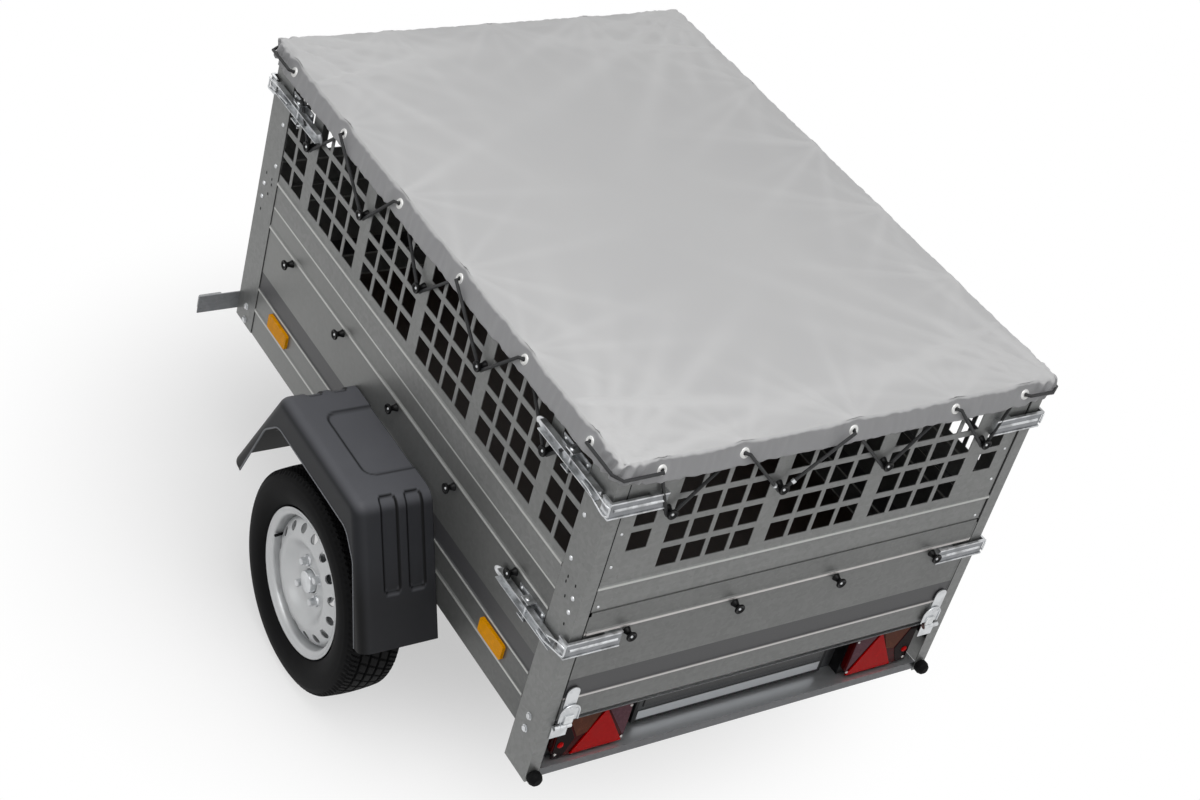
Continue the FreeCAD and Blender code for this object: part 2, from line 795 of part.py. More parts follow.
# wheels
def wheel():
    """Tyre, steel rim and hub of the left wheel, each turned about the axle."""
    at = (wheel_x, wheel_y, tyre_radius)
    bead, width, lip = d.bead_width / 2, d.tyre_width / 2, d.bead_radius + d.lip_rise
    inner = d.bead_radius + d.running_gap
    section = [(inner, bead), (tyre_radius, width * TREAD_SHARE)]
    mirrored = [(a, -b) for a, b in reversed(section)]
    tyre = new_body("tyre")
    turned(tyre, section + mirrored, at, "Y")
    pair("tyre", tyre)

    wall, well, shoulder = d.rim_wall, d.well_width / 2, bead + d.lip_stand
    well_radius, disc_shoulder = d.bead_radius - d.well_drop, d.bead_radius - d.disc_shoulder_drop
    outer = shoulder + d.lip_thickness
    barrel = [
        (lip, outer), (lip, shoulder), (d.bead_radius, shoulder), (d.bead_radius, well + wall),
        (well_radius, well), (well_radius, -well), (d.bead_radius, -well - wall), (d.bead_radius, -shoulder),
        (lip, -shoulder), (lip, -outer), (d.bead_radius - wall, -outer),
        (d.bead_radius - wall, -well - 2 * wall), (well_radius - wall, -well - wall),
        (well_radius - wall, well + wall),
        (d.bead_radius - wall, well + 2 * wall), (d.bead_radius - wall, outer),
    ]
    rim = new_body("rim")
    rim_barrel = turned(rim, barrel, at, "Y")
    root, crest, dish = d.disc_root_lift, d.disc_shoulder_lift, d.dish_lift
    disc = [
        (well_radius - wall, root), (disc_shoulder, crest), (dish_radius + wall, crest),
        (dish_radius, dish), (d.hub_hole_radius, dish), (d.hub_hole_radius, dish - wall),
        (dish_radius + wall, dish - wall), (dish_radius + 2 * wall, crest - wall),
        (disc_shoulder - wall / 2, crest - wall), (well_radius - wall, root - wall),
    ]
    turned(rim, disc, at, "Y")
    vent_at = (wheel_x + d.bead_radius - d.vent_drop, wheel_y + outer, tyre_radius)
    vent = drill(rim, "Y", d.vent_radius, vent_at, outer + d.cut_over)
    ring = rim.newObject("PartDesign::PolarPattern", "rim_vents")
    ring.Originals = [vent]
    ring.Axis = (rim_barrel.Profile[0], ["V_Axis"])
    ring.Angle = FULL_TURN
    ring.Occurrences = len(VENTS)
    rim.Tip = ring
    pair("rim", rim)

    hub = new_body("hub")
    hub_flange = dish_radius - d.hub_flange_margin
    face = dish - wall
    bore = d.stub_radius + d.running_gap
    hub_outline = [
        (bore, face - d.hub_inboard), (d.hub_body_radius, face - d.hub_inboard),
        (d.hub_body_radius, face - 2 * wall), (hub_flange, face - 2 * wall), (hub_flange, face),
        (d.hub_hole_radius - d.running_gap, face), (d.hub_hole_radius - wall, dish + d.cap_length),
        (0, dish + d.cap_length), (0, dish), (bore, dish),
    ]
    turned(hub, hub_outline, at, "Y")
    pair("hub", hub)


wheel()


# mudguards: thin moulded shells, open below, with an arch cut in the outer skirt
guard_x = wheel_x - d.guard_lead
guard_in = panel_face + d.crease_height
guard_out = wheel_y + d.tyre_width / 2 + d.guard_side_room
guard_top, guard_foot = above(lower_knob_height) - d.guard_below_knobs, above(d.guard_foot_height)


def both_ends(points):
    """A closed outline from its front half, which starts at the top."""
    ahead = [(guard_x + along, high) for along, high in points]
    behind = [(guard_x - along, high) for along, high in reversed(points)]
    return ahead + behind


def guard_form(name, shrink, lows, outer):
    """The guard as a solid, its outer top edge rolled over, moved inwards by a wall."""
    shoulder = (d.guard_top_half - shrink / 2, guard_top - shrink)
    heel = (d.guard_foot_half - shrink, guard_foot)
    form = bar(name, "Y", both_ends([shoulder, heel] + lows), guard_in, outer)
    bends = [(guard_x + way * shoulder[0], (guard_in + outer) / 2, shoulder[1]) for way in (1, -1)]
    round_edges(form, d.guard_bend - shrink, nearest_to(bends))
    round_edges(form, d.guard_roll - shrink, nearest_to([(guard_x, outer, guard_top - shrink)]))
    return form


guard_arch = [
    (d.guard_tip_half, above(d.guard_tip_height)), (d.guard_arch_half, guard_top - d.guard_arch_depth),
    (d.guard_skirt_half, guard_top - d.guard_skirt_depth)]
guard_outer = guard_form("guard_outer", Size(0, "0"), guard_arch, guard_out)
step_out = half + d.guard_step_reach
step_spots = [(guard_x - d.guard_step_half, step_out), (guard_x + d.guard_step_half, step_out)]
step_outline = [(x, half - d.cut_over) for x, y in step_spots] + step_spots[::-1]
step_floor = guard_top - d.guard_step_depth
grow(guard_outer, "Z", step_outline, step_floor, guard_top + d.cut_over, kind="PartDesign::Pocket")
step_middle = guard_top - d.guard_step_depth / 2
round_edges(guard_outer, d.guard_step_corner, nearest_to([(x, y, step_middle) for x, y in step_spots]))
guard_inner = guard_form("guard_inner", d.guard_wall, [], guard_out - d.guard_wall)
open_foot = box(
    "guard_open_foot",
    (guard_x - d.guard_foot_half + d.guard_wall, half - d.cut_over, guard_foot + d.guard_foot_height),
    (guard_x + d.guard_foot_half - d.guard_wall, guard_out - d.guard_wall, guard_foot + d.guard_wall))
pair("mudguard", without("mudguard", guard_outer, fused("guard_room", [guard_inner, open_foot])))

# tailgate: a folded sheet between the end flanges of the rear posts
gate_half = half - d.post_end_flange - d.gate_side_gap
gate_top = waist - d.gate_top_gap
gate_low = above(d.gate_bottom)
gate_deep = rear + d.gate_depth
gate_outline = [
    (rear, gate_low), (rear, gate_top), (gate_deep, gate_top), (gate_deep, gate_top - d.skin),
    (rear + d.skin, gate_top - d.skin), (rear + d.skin, gate_low + d.skin), (gate_deep, gate_low + d.skin),
    (gate_deep, gate_low)]
gate = bar("tailgate_panel", "Y", gate_outline, -gate_half, gate_half)
gate_ridge_half = gate_half - d.crease_end_gap
for ridge in (d.stripe_crease_height, top_crease_height):
    outline = [(rear - (far - rear), high) for far, high in crease(rear, above(ridge))]
    grow(gate, "Y", outline, -gate_ridge_half, gate_ridge_half)
keep("tailgate_panel", gate)

# hinges: a strap with the middle knuckle on the tailgate, a foot with the outer knuckles and the pin below
hinge_x = rear - d.hinge_reach
hinge_z = above(d.hinge_height)
hinge_place = half - d.hinge_inset
hinge_low, hinge_high = hinge_place - d.hinge_width / 2, hinge_place + d.hinge_width / 2
knuckle_low = hinge_place - d.hinge_knuckle / 2
knuckle_high = knuckle_low + d.hinge_knuckle
pin_bore = d.hinge_pin_radius + d.running_gap
strap_back = rear - d.crease_height
crown_radius = (gate_half - hinge_low) / 2
crown_place = (strap_back - d.hinge_leaf, hinge_low + crown_radius, above(d.hinge_strap_top) - crown_radius)
strap = box("gate_strap", (strap_back - d.hinge_leaf, hinge_low, gate_low + d.hinge_leaf),
            (strap_back, gate_half, crown_place[2]))
crown = rod("gate_strap_crown", "X", crown_radius, crown_place, d.hinge_leaf)
strap_seat = box("gate_strap_seat", (strap_back, hinge_low, gate_low + d.hinge_leaf),
                 (rear, gate_half, above(d.stripe_crease_height) - d.crease_width / 2))
neck = box("gate_neck", (strap_back - d.hinge_leaf, knuckle_low, hinge_z),
           (strap_back, knuckle_high, gate_low + d.hinge_leaf))
barrel = rod("gate_knuckle", "Y", d.hinge_radius, (hinge_x, knuckle_low, hinge_z), d.hinge_knuckle)
bore = rod("gate_knuckle_bore", "Y", pin_bore, (hinge_x, knuckle_low - d.cut_over, hinge_z),
           d.hinge_knuckle + 2 * d.cut_over)
strap_whole = fused("gate_strap_whole", [strap, crown, strap_seat, neck, barrel])
couple("tailgate_hinges", without("tailgate_hinge", strap_whole, bore))

foot_low = above(d.hinge_foot)
foot = box("hinge_foot", (rear - d.hinge_leaf, hinge_low, foot_low),
           (rear, hinge_high, hinge_z - d.hinge_radius - d.hinge_leaf))
foot_parts = [foot]
for start, stop in ((hinge_low, knuckle_low - d.hinge_slit), (knuckle_high + d.hinge_slit, hinge_high)):
    foot_parts.append(rod("foot_knuckle", "Y", d.hinge_radius, (hinge_x, start, hinge_z), stop - start))
    foot_parts.append(box("foot_neck", (rear - d.hinge_leaf, start, foot_low), (rear, stop, hinge_z)))
foot_parts.append(rod("hinge_pin", "Y", d.hinge_pin_radius, (hinge_x, hinge_low, hinge_z), d.hinge_width))
couple("hinge_feet", fused("hinge_foot_whole", foot_parts))

# rear lamps in the recess, with a red triangle on each
case_face = recess_face - d.lamp_case_depth
lens_face = case_face - d.lens_depth
lamp_outer = half - d.lamp_inset
lamp_inner = lamp_outer - d.lamp_length
case_low, case_high = above(d.lamp_bottom), above(d.lamp_top) - d.skin
case_outline = [
    (lamp_inner, case_low), (lamp_outer, case_low), (lamp_outer, case_high - d.lens_margin),
    (lamp_outer - d.lens_margin, case_high), (lamp_inner + d.lens_margin, case_high),
    (lamp_inner, case_high - d.lens_margin)]
couple("lamp_cases", bar("lamp_case", "X", case_outline, case_face, recess_face))
lens_low, lens_high = case_low + d.lens_margin, case_high - d.lens_margin
lens_start, lens_stop = lamp_inner + d.lens_margin, lamp_outer - d.lens_margin
lens = bar("lamp_lens", "X", [
    (lens_start, lens_low), (lens_stop, lens_low), (lens_stop, lens_high), (lens_start, lens_high)],
    lens_face, case_face)
round_edges(lens, d.lens_margin, lambda edge: abs(edge.CenterOfMass.x - lens_face.number) < 0.1)
couple("lamp_lenses", lens)
triangle_low = lens_low + d.lens_margin * 2
triangle_start = lens_start + d.lens_margin * 2
triangle = bar("lamp_triangle", "X", [
    (triangle_start, triangle_low), (triangle_start + d.triangle_side, triangle_low),
    (triangle_start + d.triangle_side / 2, triangle_low + d.triangle_side * EVEN_TRIANGLE_SHARE)],
    lens_face - d.triangle_depth, lens_face)
couple("lamp_triangles", triangle)

# number plate: blank, in a shallow holder on the back of the recess
plate_half, plate_low = lamp_inner - d.lamp_plate_gap - d.holder_rim, above(d.plate_low)
plate_high = plate_low + d.plate_height
holder_face = recess_face - d.holder_depth
holder = box("holder_block", (holder_face, -plate_half - d.holder_rim, plate_low - d.holder_rim),
             (recess_face, plate_half + d.holder_rim, plate_high + d.holder_rim / 4))
tray = box("holder_tray", (holder_face - d.cut_over, -plate_half, plate_low),
           (holder_face + d.plate_thickness, plate_half, plate_high))
keep("plate_holder", without("plate_holder", holder, tray))
keep("number_plate", box(
    "number_plate", (holder_face, -plate_half, plate_low),
    (holder_face + d.plate_thickness, plate_half, plate_high)))

# amber reflectors on the side panels, and white markers on brackets at the front corners
upright = parallel_to("Y")
reflectors = []
reflector_low = above(d.reflector_centre_height) - d.reflector_height / 2
reflector_high = reflector_low + d.reflector_height
for spot in (rear + d.reflector_rear_place, front - d.reflector_front_margin):
    start = spot - d.reflector_length / 2
    stop = start + d.reflector_length
    outline = [(start, reflector_low), (stop, reflector_low), (stop, reflector_high), (start, reflector_high)]
    reflector = bar("side_reflector", "Y", outline, panel_face, panel_face + d.reflector_depth)
    round_edges(reflector, d.reflector_depth * 3 / 4, upright)
    reflectors.append(reflector)
couple("side_reflectors", group("side_reflector_set", reflectors))
marker_low = above(d.marker_low)
marker_high = marker_low + d.marker_height
marker_start, marker_stop = half - d.marker_lap, half + d.marker_reach
marker_face = front + d.marker_plate
couple("marker_brackets", bar("marker_bracket", "X", [
    (marker_start, marker_low), (marker_stop, marker_low), (marker_stop, marker_high),
    (marker_start, marker_high)], front, marker_face))
lamp_edge = (d.marker_height - d.marker_lamp_height) / 2
lamp_stop = marker_stop - lamp_edge
lamp_start = lamp_stop - d.marker_lamp_length
marker = bar("marker_lamp", "X", [
    (lamp_start, marker_low + lamp_edge), (lamp_stop, marker_low + lamp_edge),
    (lamp_stop, marker_high - lamp_edge), (lamp_start, marker_high - lamp_edge)],
    marker_face, marker_face + d.marker_lamp_depth)
round_edges(marker, lamp_edge, parallel_to("X"))
couple("marker_lamps", marker)

# rubber buffers under the tailgate, on the end flanges of the rear posts
buffer = new_body("buffer")
nose_start = d.buffer_length - d.buffer_nose
turned(buffer, [
    (0, 0), (d.buffer_radius * 3 / 4, 0), (d.buffer_radius, nose_start / 3), (d.buffer_radius, nose_start),
    (d.buffer_radius * 4 / 5, nose_start + d.buffer_nose * 2 / 3), (d.buffer_radius / 2, d.buffer_length),
    (0, d.buffer_length)], (0, 0, 0), "X")
buffer.Placement = FreeCAD.Placement(FreeCAD.Vector(), HALF_TURN)
place(buffer, rear, half - d.post_end_flange / 2, above(d.buffer_height))
couple("rear_buffers", buffer)


# cover knobs: flared plastic hooks for the elastic cord
def knob_outline(base):
    neck = base + d.knob_length / 3
    head = base + d.knob_length - d.knob_head_length
    return [
        (0, base), (d.knob_base_radius, base), (d.knob_neck_radius, neck),
        (d.knob_neck_radius, head - d.skin), (d.knob_head_radius, head),
        (d.knob_head_radius, head + d.knob_head_length / 2),
        (d.knob_head_radius / 2, head + d.knob_head_length), (0, head + d.knob_head_length)]


first_knob = first_cell + 2 * side_cell + d.cell_web + d.gang_web / 2
knob_span = (len(SIDE_GANGS) - 1) * gang_pitch
end_knob = end_gang_pitch * len(END_GANGS) / 2


def side_knobs(name, height):
    body = new_body(name)
    knob = turned(body, knob_outline(panel_face), (first_knob, 0, above(height)), "Y")
    spread(body, [knob], "X", knob_span, len(SIDE_GANGS))
    return [body, other_hand(name + "_right", body)]


def end_knobs(name, face, turn, height):
    body = new_body(name)
    knob = turned(body, knob_outline(Size(0, "0")), (0, 0, 0), "X")
    spread(body, [knob], "Y", 2 * end_knob, len(END_GANGS) + 1)
    body.Placement = FreeCAD.Placement(FreeCAD.Vector(), turn)
    return place(body, face, -end_knob if turn == NO_TURN else end_knob, above(height))


upper_knobs = side_knobs("upper_side_knobs", upper_knob_height)
upper_knobs.append(end_knobs("upper_front_knobs", front_face, NO_TURN, upper_knob_height))
upper_knobs.append(end_knobs("upper_rear_knobs", rear + d.skin, HALF_TURN, upper_knob_height))
keep("upper_knobs", group("upper_knobs", upper_knobs))
lower_knobs = side_knobs("lower_side_knobs", lower_knob_height)
lower_knobs.append(end_knobs("lower_front_knobs", front_face, NO_TURN, lower_knob_height))
keep("lower_knobs", group("lower_knobs", lower_knobs))
keep("tailgate_knobs", end_knobs("tailgate_knobs", rear, HALF_TURN, lower_knob_height))

# flat cover: a shallow cloth box over the mesh, open below
cover_half = half + d.cover_stand + d.cover_cloth
cover_rear, cover_front = rear - d.cover_stand - d.cover_cloth, front + d.cover_stand + d.cover_cloth
cover_low, cover_top = brim - d.cover_hang, brim + d.cover_play + d.cover_cloth
cover = bar("cover", "Z", [
    (cover_rear, -cover_half), (cover_front, -cover_half), (cover_front, cover_half),
    (cover_rear, cover_half)], cover_low, cover_top)
round_edges(cover, d.cover_corner, parallel_to("Z"))
cover_in = cover_half - d.cover_cloth
cover_back, cover_ahead = cover_rear + d.cover_cloth, cover_front - d.cover_cloth
grow(cover, "Z", [
    (cover_back, -cover_in), (cover_ahead, -cover_in), (cover_ahead, cover_in), (cover_back, cover_in)],
    cover_low - d.cut_over, cover_top - d.cover_cloth, kind="PartDesign::Pocket")
keep("cover", cover)

# latches: a strap round each corner and a lever on the side
strap_face = half + d.latch_stand
strap_start = end_knob + d.latch_knob_gap


def corner_strap(name, corner, away, low):
    """An angle strap that wraps a corner and stands off it, its long edges turned outwards."""
    end = corner + away * d.latch_stand
    lap = corner - away * d.latch_side_reach
    base, high = above(low), above(low) + d.latch_strap
    rim = d.latch_metal + d.latch_rim
    bands = []
    for stand, bottom, top in (
            (d.latch_metal, base, high), (rim, base, base + d.latch_rim_height),
            (rim, high - d.latch_rim_height, high)):
        face, tip = strap_face + stand, end + away * stand
        outline = [
            (end, strap_start), (end, strap_face), (lap, strap_face), (lap, face), (tip, face),
            (tip, strap_start)]
        bands.append(bar(name, "Z", outline, bottom, top))
    return fused(name + "_whole", bands)


def strap_foot(name, seat, away, corner, low):
    """The block that holds a strap to the panel of its end."""
    end = corner + away * d.latch_stand
    back, ahead = (end, seat) if away < 0 else (seat, end)
    return box(name, (back, strap_start, above(low)),
               (ahead, strap_start + 3 * d.latch_foot, above(low) + d.latch_strap))


def strap_set(name, corner, away, seat, low):
    angle = corner_strap(name + "_angle", corner, away, low)
    return fused(name, [angle, strap_foot(name + "_foot", seat, away, corner, low)])


couple("tailgate_straps", strap_set("lower_strap", rear, -1, rear, lower_knob_height - d.latch_below_knobs))
couple("upper_straps", group("upper_strap_set", [
    strap_set("upper_rear_strap", rear, -1, rear + d.skin, upper_knob_height + d.latch_above_knobs),
    strap_set("upper_front_strap", front, 1, front_face, upper_knob_height + d.latch_above_knobs)]))


def lever(name, corner, away, low):
    """An over-centre lever, a channel on a pin between two ears of its foot plate on the side panel."""
    near, far = corner - away * d.lever_start, corner - away * d.lever_end
    start, stop = (near, far) if away < 0 else (far, near)
    base, top = above(low), above(low) + d.lever_height
    web_low, web_high = base + d.lever_height / 4, top - d.lever_height / 4
    lever_out = strap_face + d.lever_depth
    middle = (start + stop) / 2
    plate_half = d.lever_plate_length / 2
    ear_half = d.latch_foot
    web_out = strap_face + d.latch_metal
    parts = [
        box(name + "_plate", (middle - plate_half, panel_face, base),
            (middle + plate_half, panel_face + d.lever_plate, top)),
        box(name + "_web", (start, strap_face, web_low), (stop, web_out, web_high)),
        rod(name + "_pin", "Z", d.lever_pin_radius, (middle, web_out + d.lever_pin_radius / 2, base),
            d.lever_height)]
    for edge in (base, top - d.latch_metal):
        parts.append(box(name + "_ear", (middle - ear_half, panel_face, edge),
                         (middle + ear_half, lever_out, edge + d.latch_metal)))
    for edge in (web_low, web_high - d.lever_plate):
        parts.append(box(name + "_flange", (start, strap_face, edge),
                         (stop, lever_out, edge + d.lever_plate)))
    return fused(name, parts)


couple("lower_levers", lever("lower_lever", rear, -1, lower_knob_height - d.lever_below_knobs))
couple("upper_levers", group("upper_lever_set", [
    lever("upper_rear_lever", rear, -1, upper_knob_height + d.lever_above_knobs),
    lever("upper_front_lever", front, 1, upper_knob_height + d.lever_above_knobs)]))

# coupling head: a stamped cup over the ball, on the end of the drawbar, with a lift handle
ball_x = nose - d.socket_wall - d.ball_radius
socket_out = d.ball_radius + d.socket_wall
socket_roof = cross_low - d.drawbar_size / 2 + socket_out / 2
socket_mouth = socket_roof - socket_out - d.socket_length
head_start = drawbar_end - d.coupling_lap
neck_outline = [
    (head_start, -drawbar_half - d.socket_wall), (ball_x, -socket_out), (ball_x, socket_out),
    (head_start, drawbar_half + d.socket_wall)]
neck_body = bar("coupling_neck", "Z", neck_outline, socket_mouth, cross_low + d.socket_wall)
cup = rod("coupling_cup", "Z", socket_out, (ball_x, 0, socket_mouth), d.socket_length)
dome = dome_over("coupling_dome", socket_out, (ball_x, 0, socket_mouth + d.socket_length))
socket = rod("coupling_socket", "Z", d.ball_radius, (ball_x, 0, socket_mouth - d.cut_over),
             d.socket_length + d.cut_over)
ball_room = dome_over("coupling_ball_room", d.ball_radius, (ball_x, 0, socket_mouth + d.socket_length))
sleeve = box("coupling_sleeve", (head_start - d.cut_over, -drawbar_half, drawbar_low),
             (drawbar_end, drawbar_half, cross_low))
coupling_whole = fused("coupling_whole", [neck_body, cup, dome])
coupling_rooms = fused("coupling_rooms", [socket, ball_room, sleeve])
keep("coupling_head", without("coupling_head", coupling_whole, coupling_rooms))
head_top = cross_low + d.socket_wall
handle_tail = ball_x - d.handle_length
handle_outline = [
    (ball_x, head_top), (handle_tail, head_top + d.handle_rise),
    (handle_tail, head_top + d.handle_rise + d.handle_thickness), (ball_x, head_top + 3 * d.handle_thickness)]
keep("coupling_handle", bar("coupling_handle", "Y", handle_outline, -d.handle_width / 2, d.handle_width / 2))

# jockey wheel: a tube in a clamp on the drawbar, a leg that swivels in it, and a wheel in a trailing fork
jockey_x = nose - d.jockey_from_nose
jockey_y = -drawbar_half - d.clamp_gap - d.jockey_tube_radius
jockey_wheel_x = jockey_x - d.jockey_trail
collar_out = d.jockey_tube_radius + d.running_gap + d.clamp_wall
clamp_low = cross_low - d.drawbar_size / 2 - d.clamp_height / 2
collar = rod("clamp_collar", "Z", collar_out, (jockey_x, jockey_y, clamp_low), d.clamp_height)
clamp_arm = box("clamp_arm", (jockey_x - collar_out, jockey_y, clamp_low),
                (jockey_x + collar_out, -drawbar_half, clamp_low + d.clamp_height))
clamp_bore = rod("clamp_bore", "Z", d.jockey_tube_radius + d.running_gap,
                 (jockey_x, jockey_y, clamp_low - d.cut_over), d.clamp_height + 2 * d.cut_over)
clamp_block = without("clamp_block", fused("clamp_whole", [collar, clamp_arm]), clamp_bore)
screw_z = clamp_low + d.clamp_height / 2
screw_start = jockey_y - collar_out + d.clamp_wall / 2 - d.clamp_screw_length
screw = rod("clamp_screw", "Y", d.clamp_screw_radius, (jockey_x, screw_start, screw_z), d.clamp_screw_length)
tommy = rod("clamp_tommy", "Z", d.clamp_screw_radius * 2 / 3,
            (jockey_x, screw_start + d.clamp_screw_radius, screw_z - d.clamp_height), 2 * d.clamp_height)
keep("jockey_clamp", fused("jockey_clamp", [clamp_block, screw, tommy]))

tube_solid = rod("jockey_tube_solid", "Z", d.jockey_tube_radius, (jockey_x, jockey_y, d.jockey_tube_low),
                 d.jockey_tube_top - d.jockey_tube_low)
tube_bore = rod("jockey_tube_bore", "Z", d.jockey_bore_radius,
                (jockey_x, jockey_y, d.jockey_tube_low - d.cut_over),
                d.jockey_tube_top - d.jockey_tube_low - d.clamp_wall + d.cut_over)
keep("jockey_tube", without("jockey_tube", tube_solid, tube_bore))
spindle = rod("crank_spindle", "Z", d.crank_radius, (jockey_x, jockey_y, d.jockey_tube_top), d.crank_lift)
crank_z = d.jockey_tube_top + d.crank_lift / 2
crank_arm = rod("crank_arm", "X", d.crank_radius * 3 / 4, (jockey_x - d.crank_length, jockey_y, crank_z),
                d.crank_length)
crank_grip = rod("crank_grip", "Z", d.crank_grip_radius, (jockey_x - d.crank_length, jockey_y, crank_z),
                 d.crank_grip_length)
keep("jockey_crank", fused("jockey_crank", [spindle, crank_arm, crank_grip]))

fork_half = d.jockey_wheel_width / 2 + d.fork_gap
fork_top = 2 * d.jockey_wheel_radius + d.fork_lift
leg = rod("jockey_leg", "Z", d.jockey_leg_radius, (jockey_x, jockey_y, fork_top), d.jockey_leg_top - fork_top)
fork_out = fork_half + d.fork_plate
fork_bridge = box("fork_crown", (jockey_wheel_x - d.fork_width / 2, jockey_y - fork_out, fork_top),
                  (jockey_x + d.jockey_tube_radius, jockey_y + fork_out, fork_top + d.fork_crown))
fork_parts = [leg, fork_bridge]
cheek_outline = [
    (jockey_wheel_x - d.fork_width / 2, d.jockey_wheel_radius - d.fork_width / 2),
    (jockey_wheel_x + d.fork_width / 2, d.jockey_wheel_radius - d.fork_width / 2),
    (jockey_x + d.jockey_tube_radius, fork_top), (jockey_wheel_x - d.fork_width / 2, fork_top)]
for start in (jockey_y - fork_half - d.fork_plate, jockey_y + fork_half):
    fork_parts.append(bar("fork_cheek", "Y", cheek_outline, start, start + d.fork_plate))
fork_parts.append(rod("jockey_axle", "Y", d.jockey_axle_radius,
                      (jockey_wheel_x, jockey_y - fork_half - d.fork_plate, d.jockey_wheel_radius),
                      2 * (fork_half + d.fork_plate)))
keep("jockey_fork", fused("jockey_fork", fork_parts))

jockey_at = (jockey_wheel_x, jockey_y, d.jockey_wheel_radius)
hub_half, tread_half = d.jockey_rim_width / 2, d.jockey_wheel_width / 2
axle_bore = d.jockey_axle_radius + d.running_gap
jockey_rim = new_body("jockey_rim")
barrel_inner = d.jockey_hub_radius - d.rim_wall
turned(jockey_rim, [
    (axle_bore, -tread_half), (2 * axle_bore, -tread_half), (2 * axle_bore, -hub_half / 2),
    (barrel_inner, -hub_half / 2), (barrel_inner, -hub_half), (d.jockey_hub_radius, -hub_half),
    (d.jockey_hub_radius, hub_half), (barrel_inner, hub_half), (barrel_inner, hub_half / 2),
    (2 * axle_bore, hub_half / 2), (2 * axle_bore, tread_half), (axle_bore, tread_half)], jockey_at, "Y")
keep("jockey_rim", jockey_rim)
jockey_tyre = new_body("jockey_tyre")
turned(jockey_tyre, [
    (d.jockey_hub_radius, -tread_half), (d.jockey_wheel_radius, -tread_half),
    (d.jockey_wheel_radius, tread_half), (d.jockey_hub_radius, tread_half)], jockey_at, "Y")
keep("jockey_tyre", jockey_tyre)

# every piece is worked out, checked and written
document.recompute()
faulty = [item.Name for item in document.Objects if {"Invalid", "Error"} & set(item.State)]
if faulty:
    raise RuntimeError("could not be worked out: %s" % faulty)
for label, thing in nodes.items():
    if thing.Shape.isNull() or not thing.Shape.isValid():
        raise RuntimeError("not a sound shape: %s" % label)
os.makedirs("parts", exist_ok=True)
for label, thing in nodes.items():
    thing.Shape.exportStep("parts/%s.step" % label)
print("nodes", len(nodes), "box", Part.makeCompound([thing.Shape for thing in nodes.values()]).BoundBox)
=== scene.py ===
import math
import random
import bpy
from mathutils import Matrix, Vector, noise


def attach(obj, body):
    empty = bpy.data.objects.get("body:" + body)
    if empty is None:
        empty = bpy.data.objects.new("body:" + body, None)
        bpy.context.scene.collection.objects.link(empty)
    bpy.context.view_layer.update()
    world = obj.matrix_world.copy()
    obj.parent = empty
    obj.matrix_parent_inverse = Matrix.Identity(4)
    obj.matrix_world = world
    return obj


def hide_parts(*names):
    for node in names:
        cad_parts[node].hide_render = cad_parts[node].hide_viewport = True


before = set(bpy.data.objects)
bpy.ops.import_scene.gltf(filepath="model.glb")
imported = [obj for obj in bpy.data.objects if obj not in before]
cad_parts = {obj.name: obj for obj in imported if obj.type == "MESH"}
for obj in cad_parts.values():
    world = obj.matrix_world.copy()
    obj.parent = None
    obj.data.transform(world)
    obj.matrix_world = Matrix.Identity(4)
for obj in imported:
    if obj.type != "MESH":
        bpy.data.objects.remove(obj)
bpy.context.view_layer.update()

# Camera
# The photograph is taken from above the rear left corner with a longish lens, and the camera leans to its right,
# so that the tailgate's edges fall away to the left.
AHEAD, LEFT, UP = Vector((1, 0, 0)), Vector((0, 1, 0)), Vector((0, 0, 1))
CAMERA_PLACE, LENS, SENSOR_WIDTH = (-3.648, 2.828, 3.810), 66.49, 36
TURN, DROP, ROLL = math.radians(-41.25), math.radians(-36.01), math.radians(16.83)


def put(name, data):
    """A new object in the scene."""
    made = bpy.data.objects.new(name, data)
    bpy.context.collection.objects.link(made)
    return made


look = Vector((math.cos(DROP) * math.cos(TURN), math.cos(DROP) * math.sin(TURN), math.sin(DROP)))
level = look.cross(UP).normalized()
steep = level.cross(look)
right = level * math.cos(ROLL) + steep * math.sin(ROLL)
up = steep * math.cos(ROLL) - level * math.sin(ROLL)
camera = put("camera", bpy.data.cameras.new("camera"))
camera.data.lens, camera.data.sensor_width = LENS, SENSOR_WIDTH
camera.data.clip_start, camera.data.clip_end = 0.05, 60
camera.matrix_world = Matrix.Translation(CAMERA_PLACE) @ Matrix((right, up, -look)).transposed().to_4x4()
bpy.context.scene.camera = camera
bpy.context.scene.view_settings.view_transform = "Standard"


# Floor, white surroundings and lamps
# A pale studio floor that fades to white away from the trailer, under a large soft lamp overhead and three weaker
# ones around it, so that panels that face up are lighter than upright ones, as in the photograph.
FLOOR_HALF, FADE_START, FADE_END = 9.0, 0.5, 1.4
SKY_LIGHT, FADE_LEAST = 0.30, 0.5
LAMPS_AIM = Vector((-0.4, 0, 0.7))


def linear(colour):
    """An sRGB colour such as #8c8f93 as the linear one that shaders take."""
    parts = [int(colour[place:place + 2], 16) / 255 for place in (1, 3, 5)]
    return [part / 12.92 if part <= 0.04045 else ((part + 0.055) / 1.055) ** 2.4 for part in parts] + [1]


def add(tree, kind, inputs=None, **settings):
    """Adds one node, sets it, and links or sets its inputs."""
    made = tree.nodes.new("ShaderNode" + kind)
    for word, value in settings.items():
        setattr(made, word, value)
    for socket, value in (inputs or {}).items():
        if isinstance(value, bpy.types.NodeSocket):
            tree.links.new(value, made.inputs[socket])
        else:
            made.inputs[socket].default_value = value
    return made


def seen_rays(tree):
    """One for rays of camera, gloss and glass, which show the white surroundings, and nought for light."""
    rays = add(tree, "LightPath").outputs
    gloss = add(tree, "Math", {0: rays["Is Camera Ray"], 1: rays["Is Glossy Ray"]}, operation="MAXIMUM")
    return add(tree, "Math", {0: gloss.outputs[0], 1: rays["Is Transmission Ray"]}, operation="MAXIMUM").outputs[0]


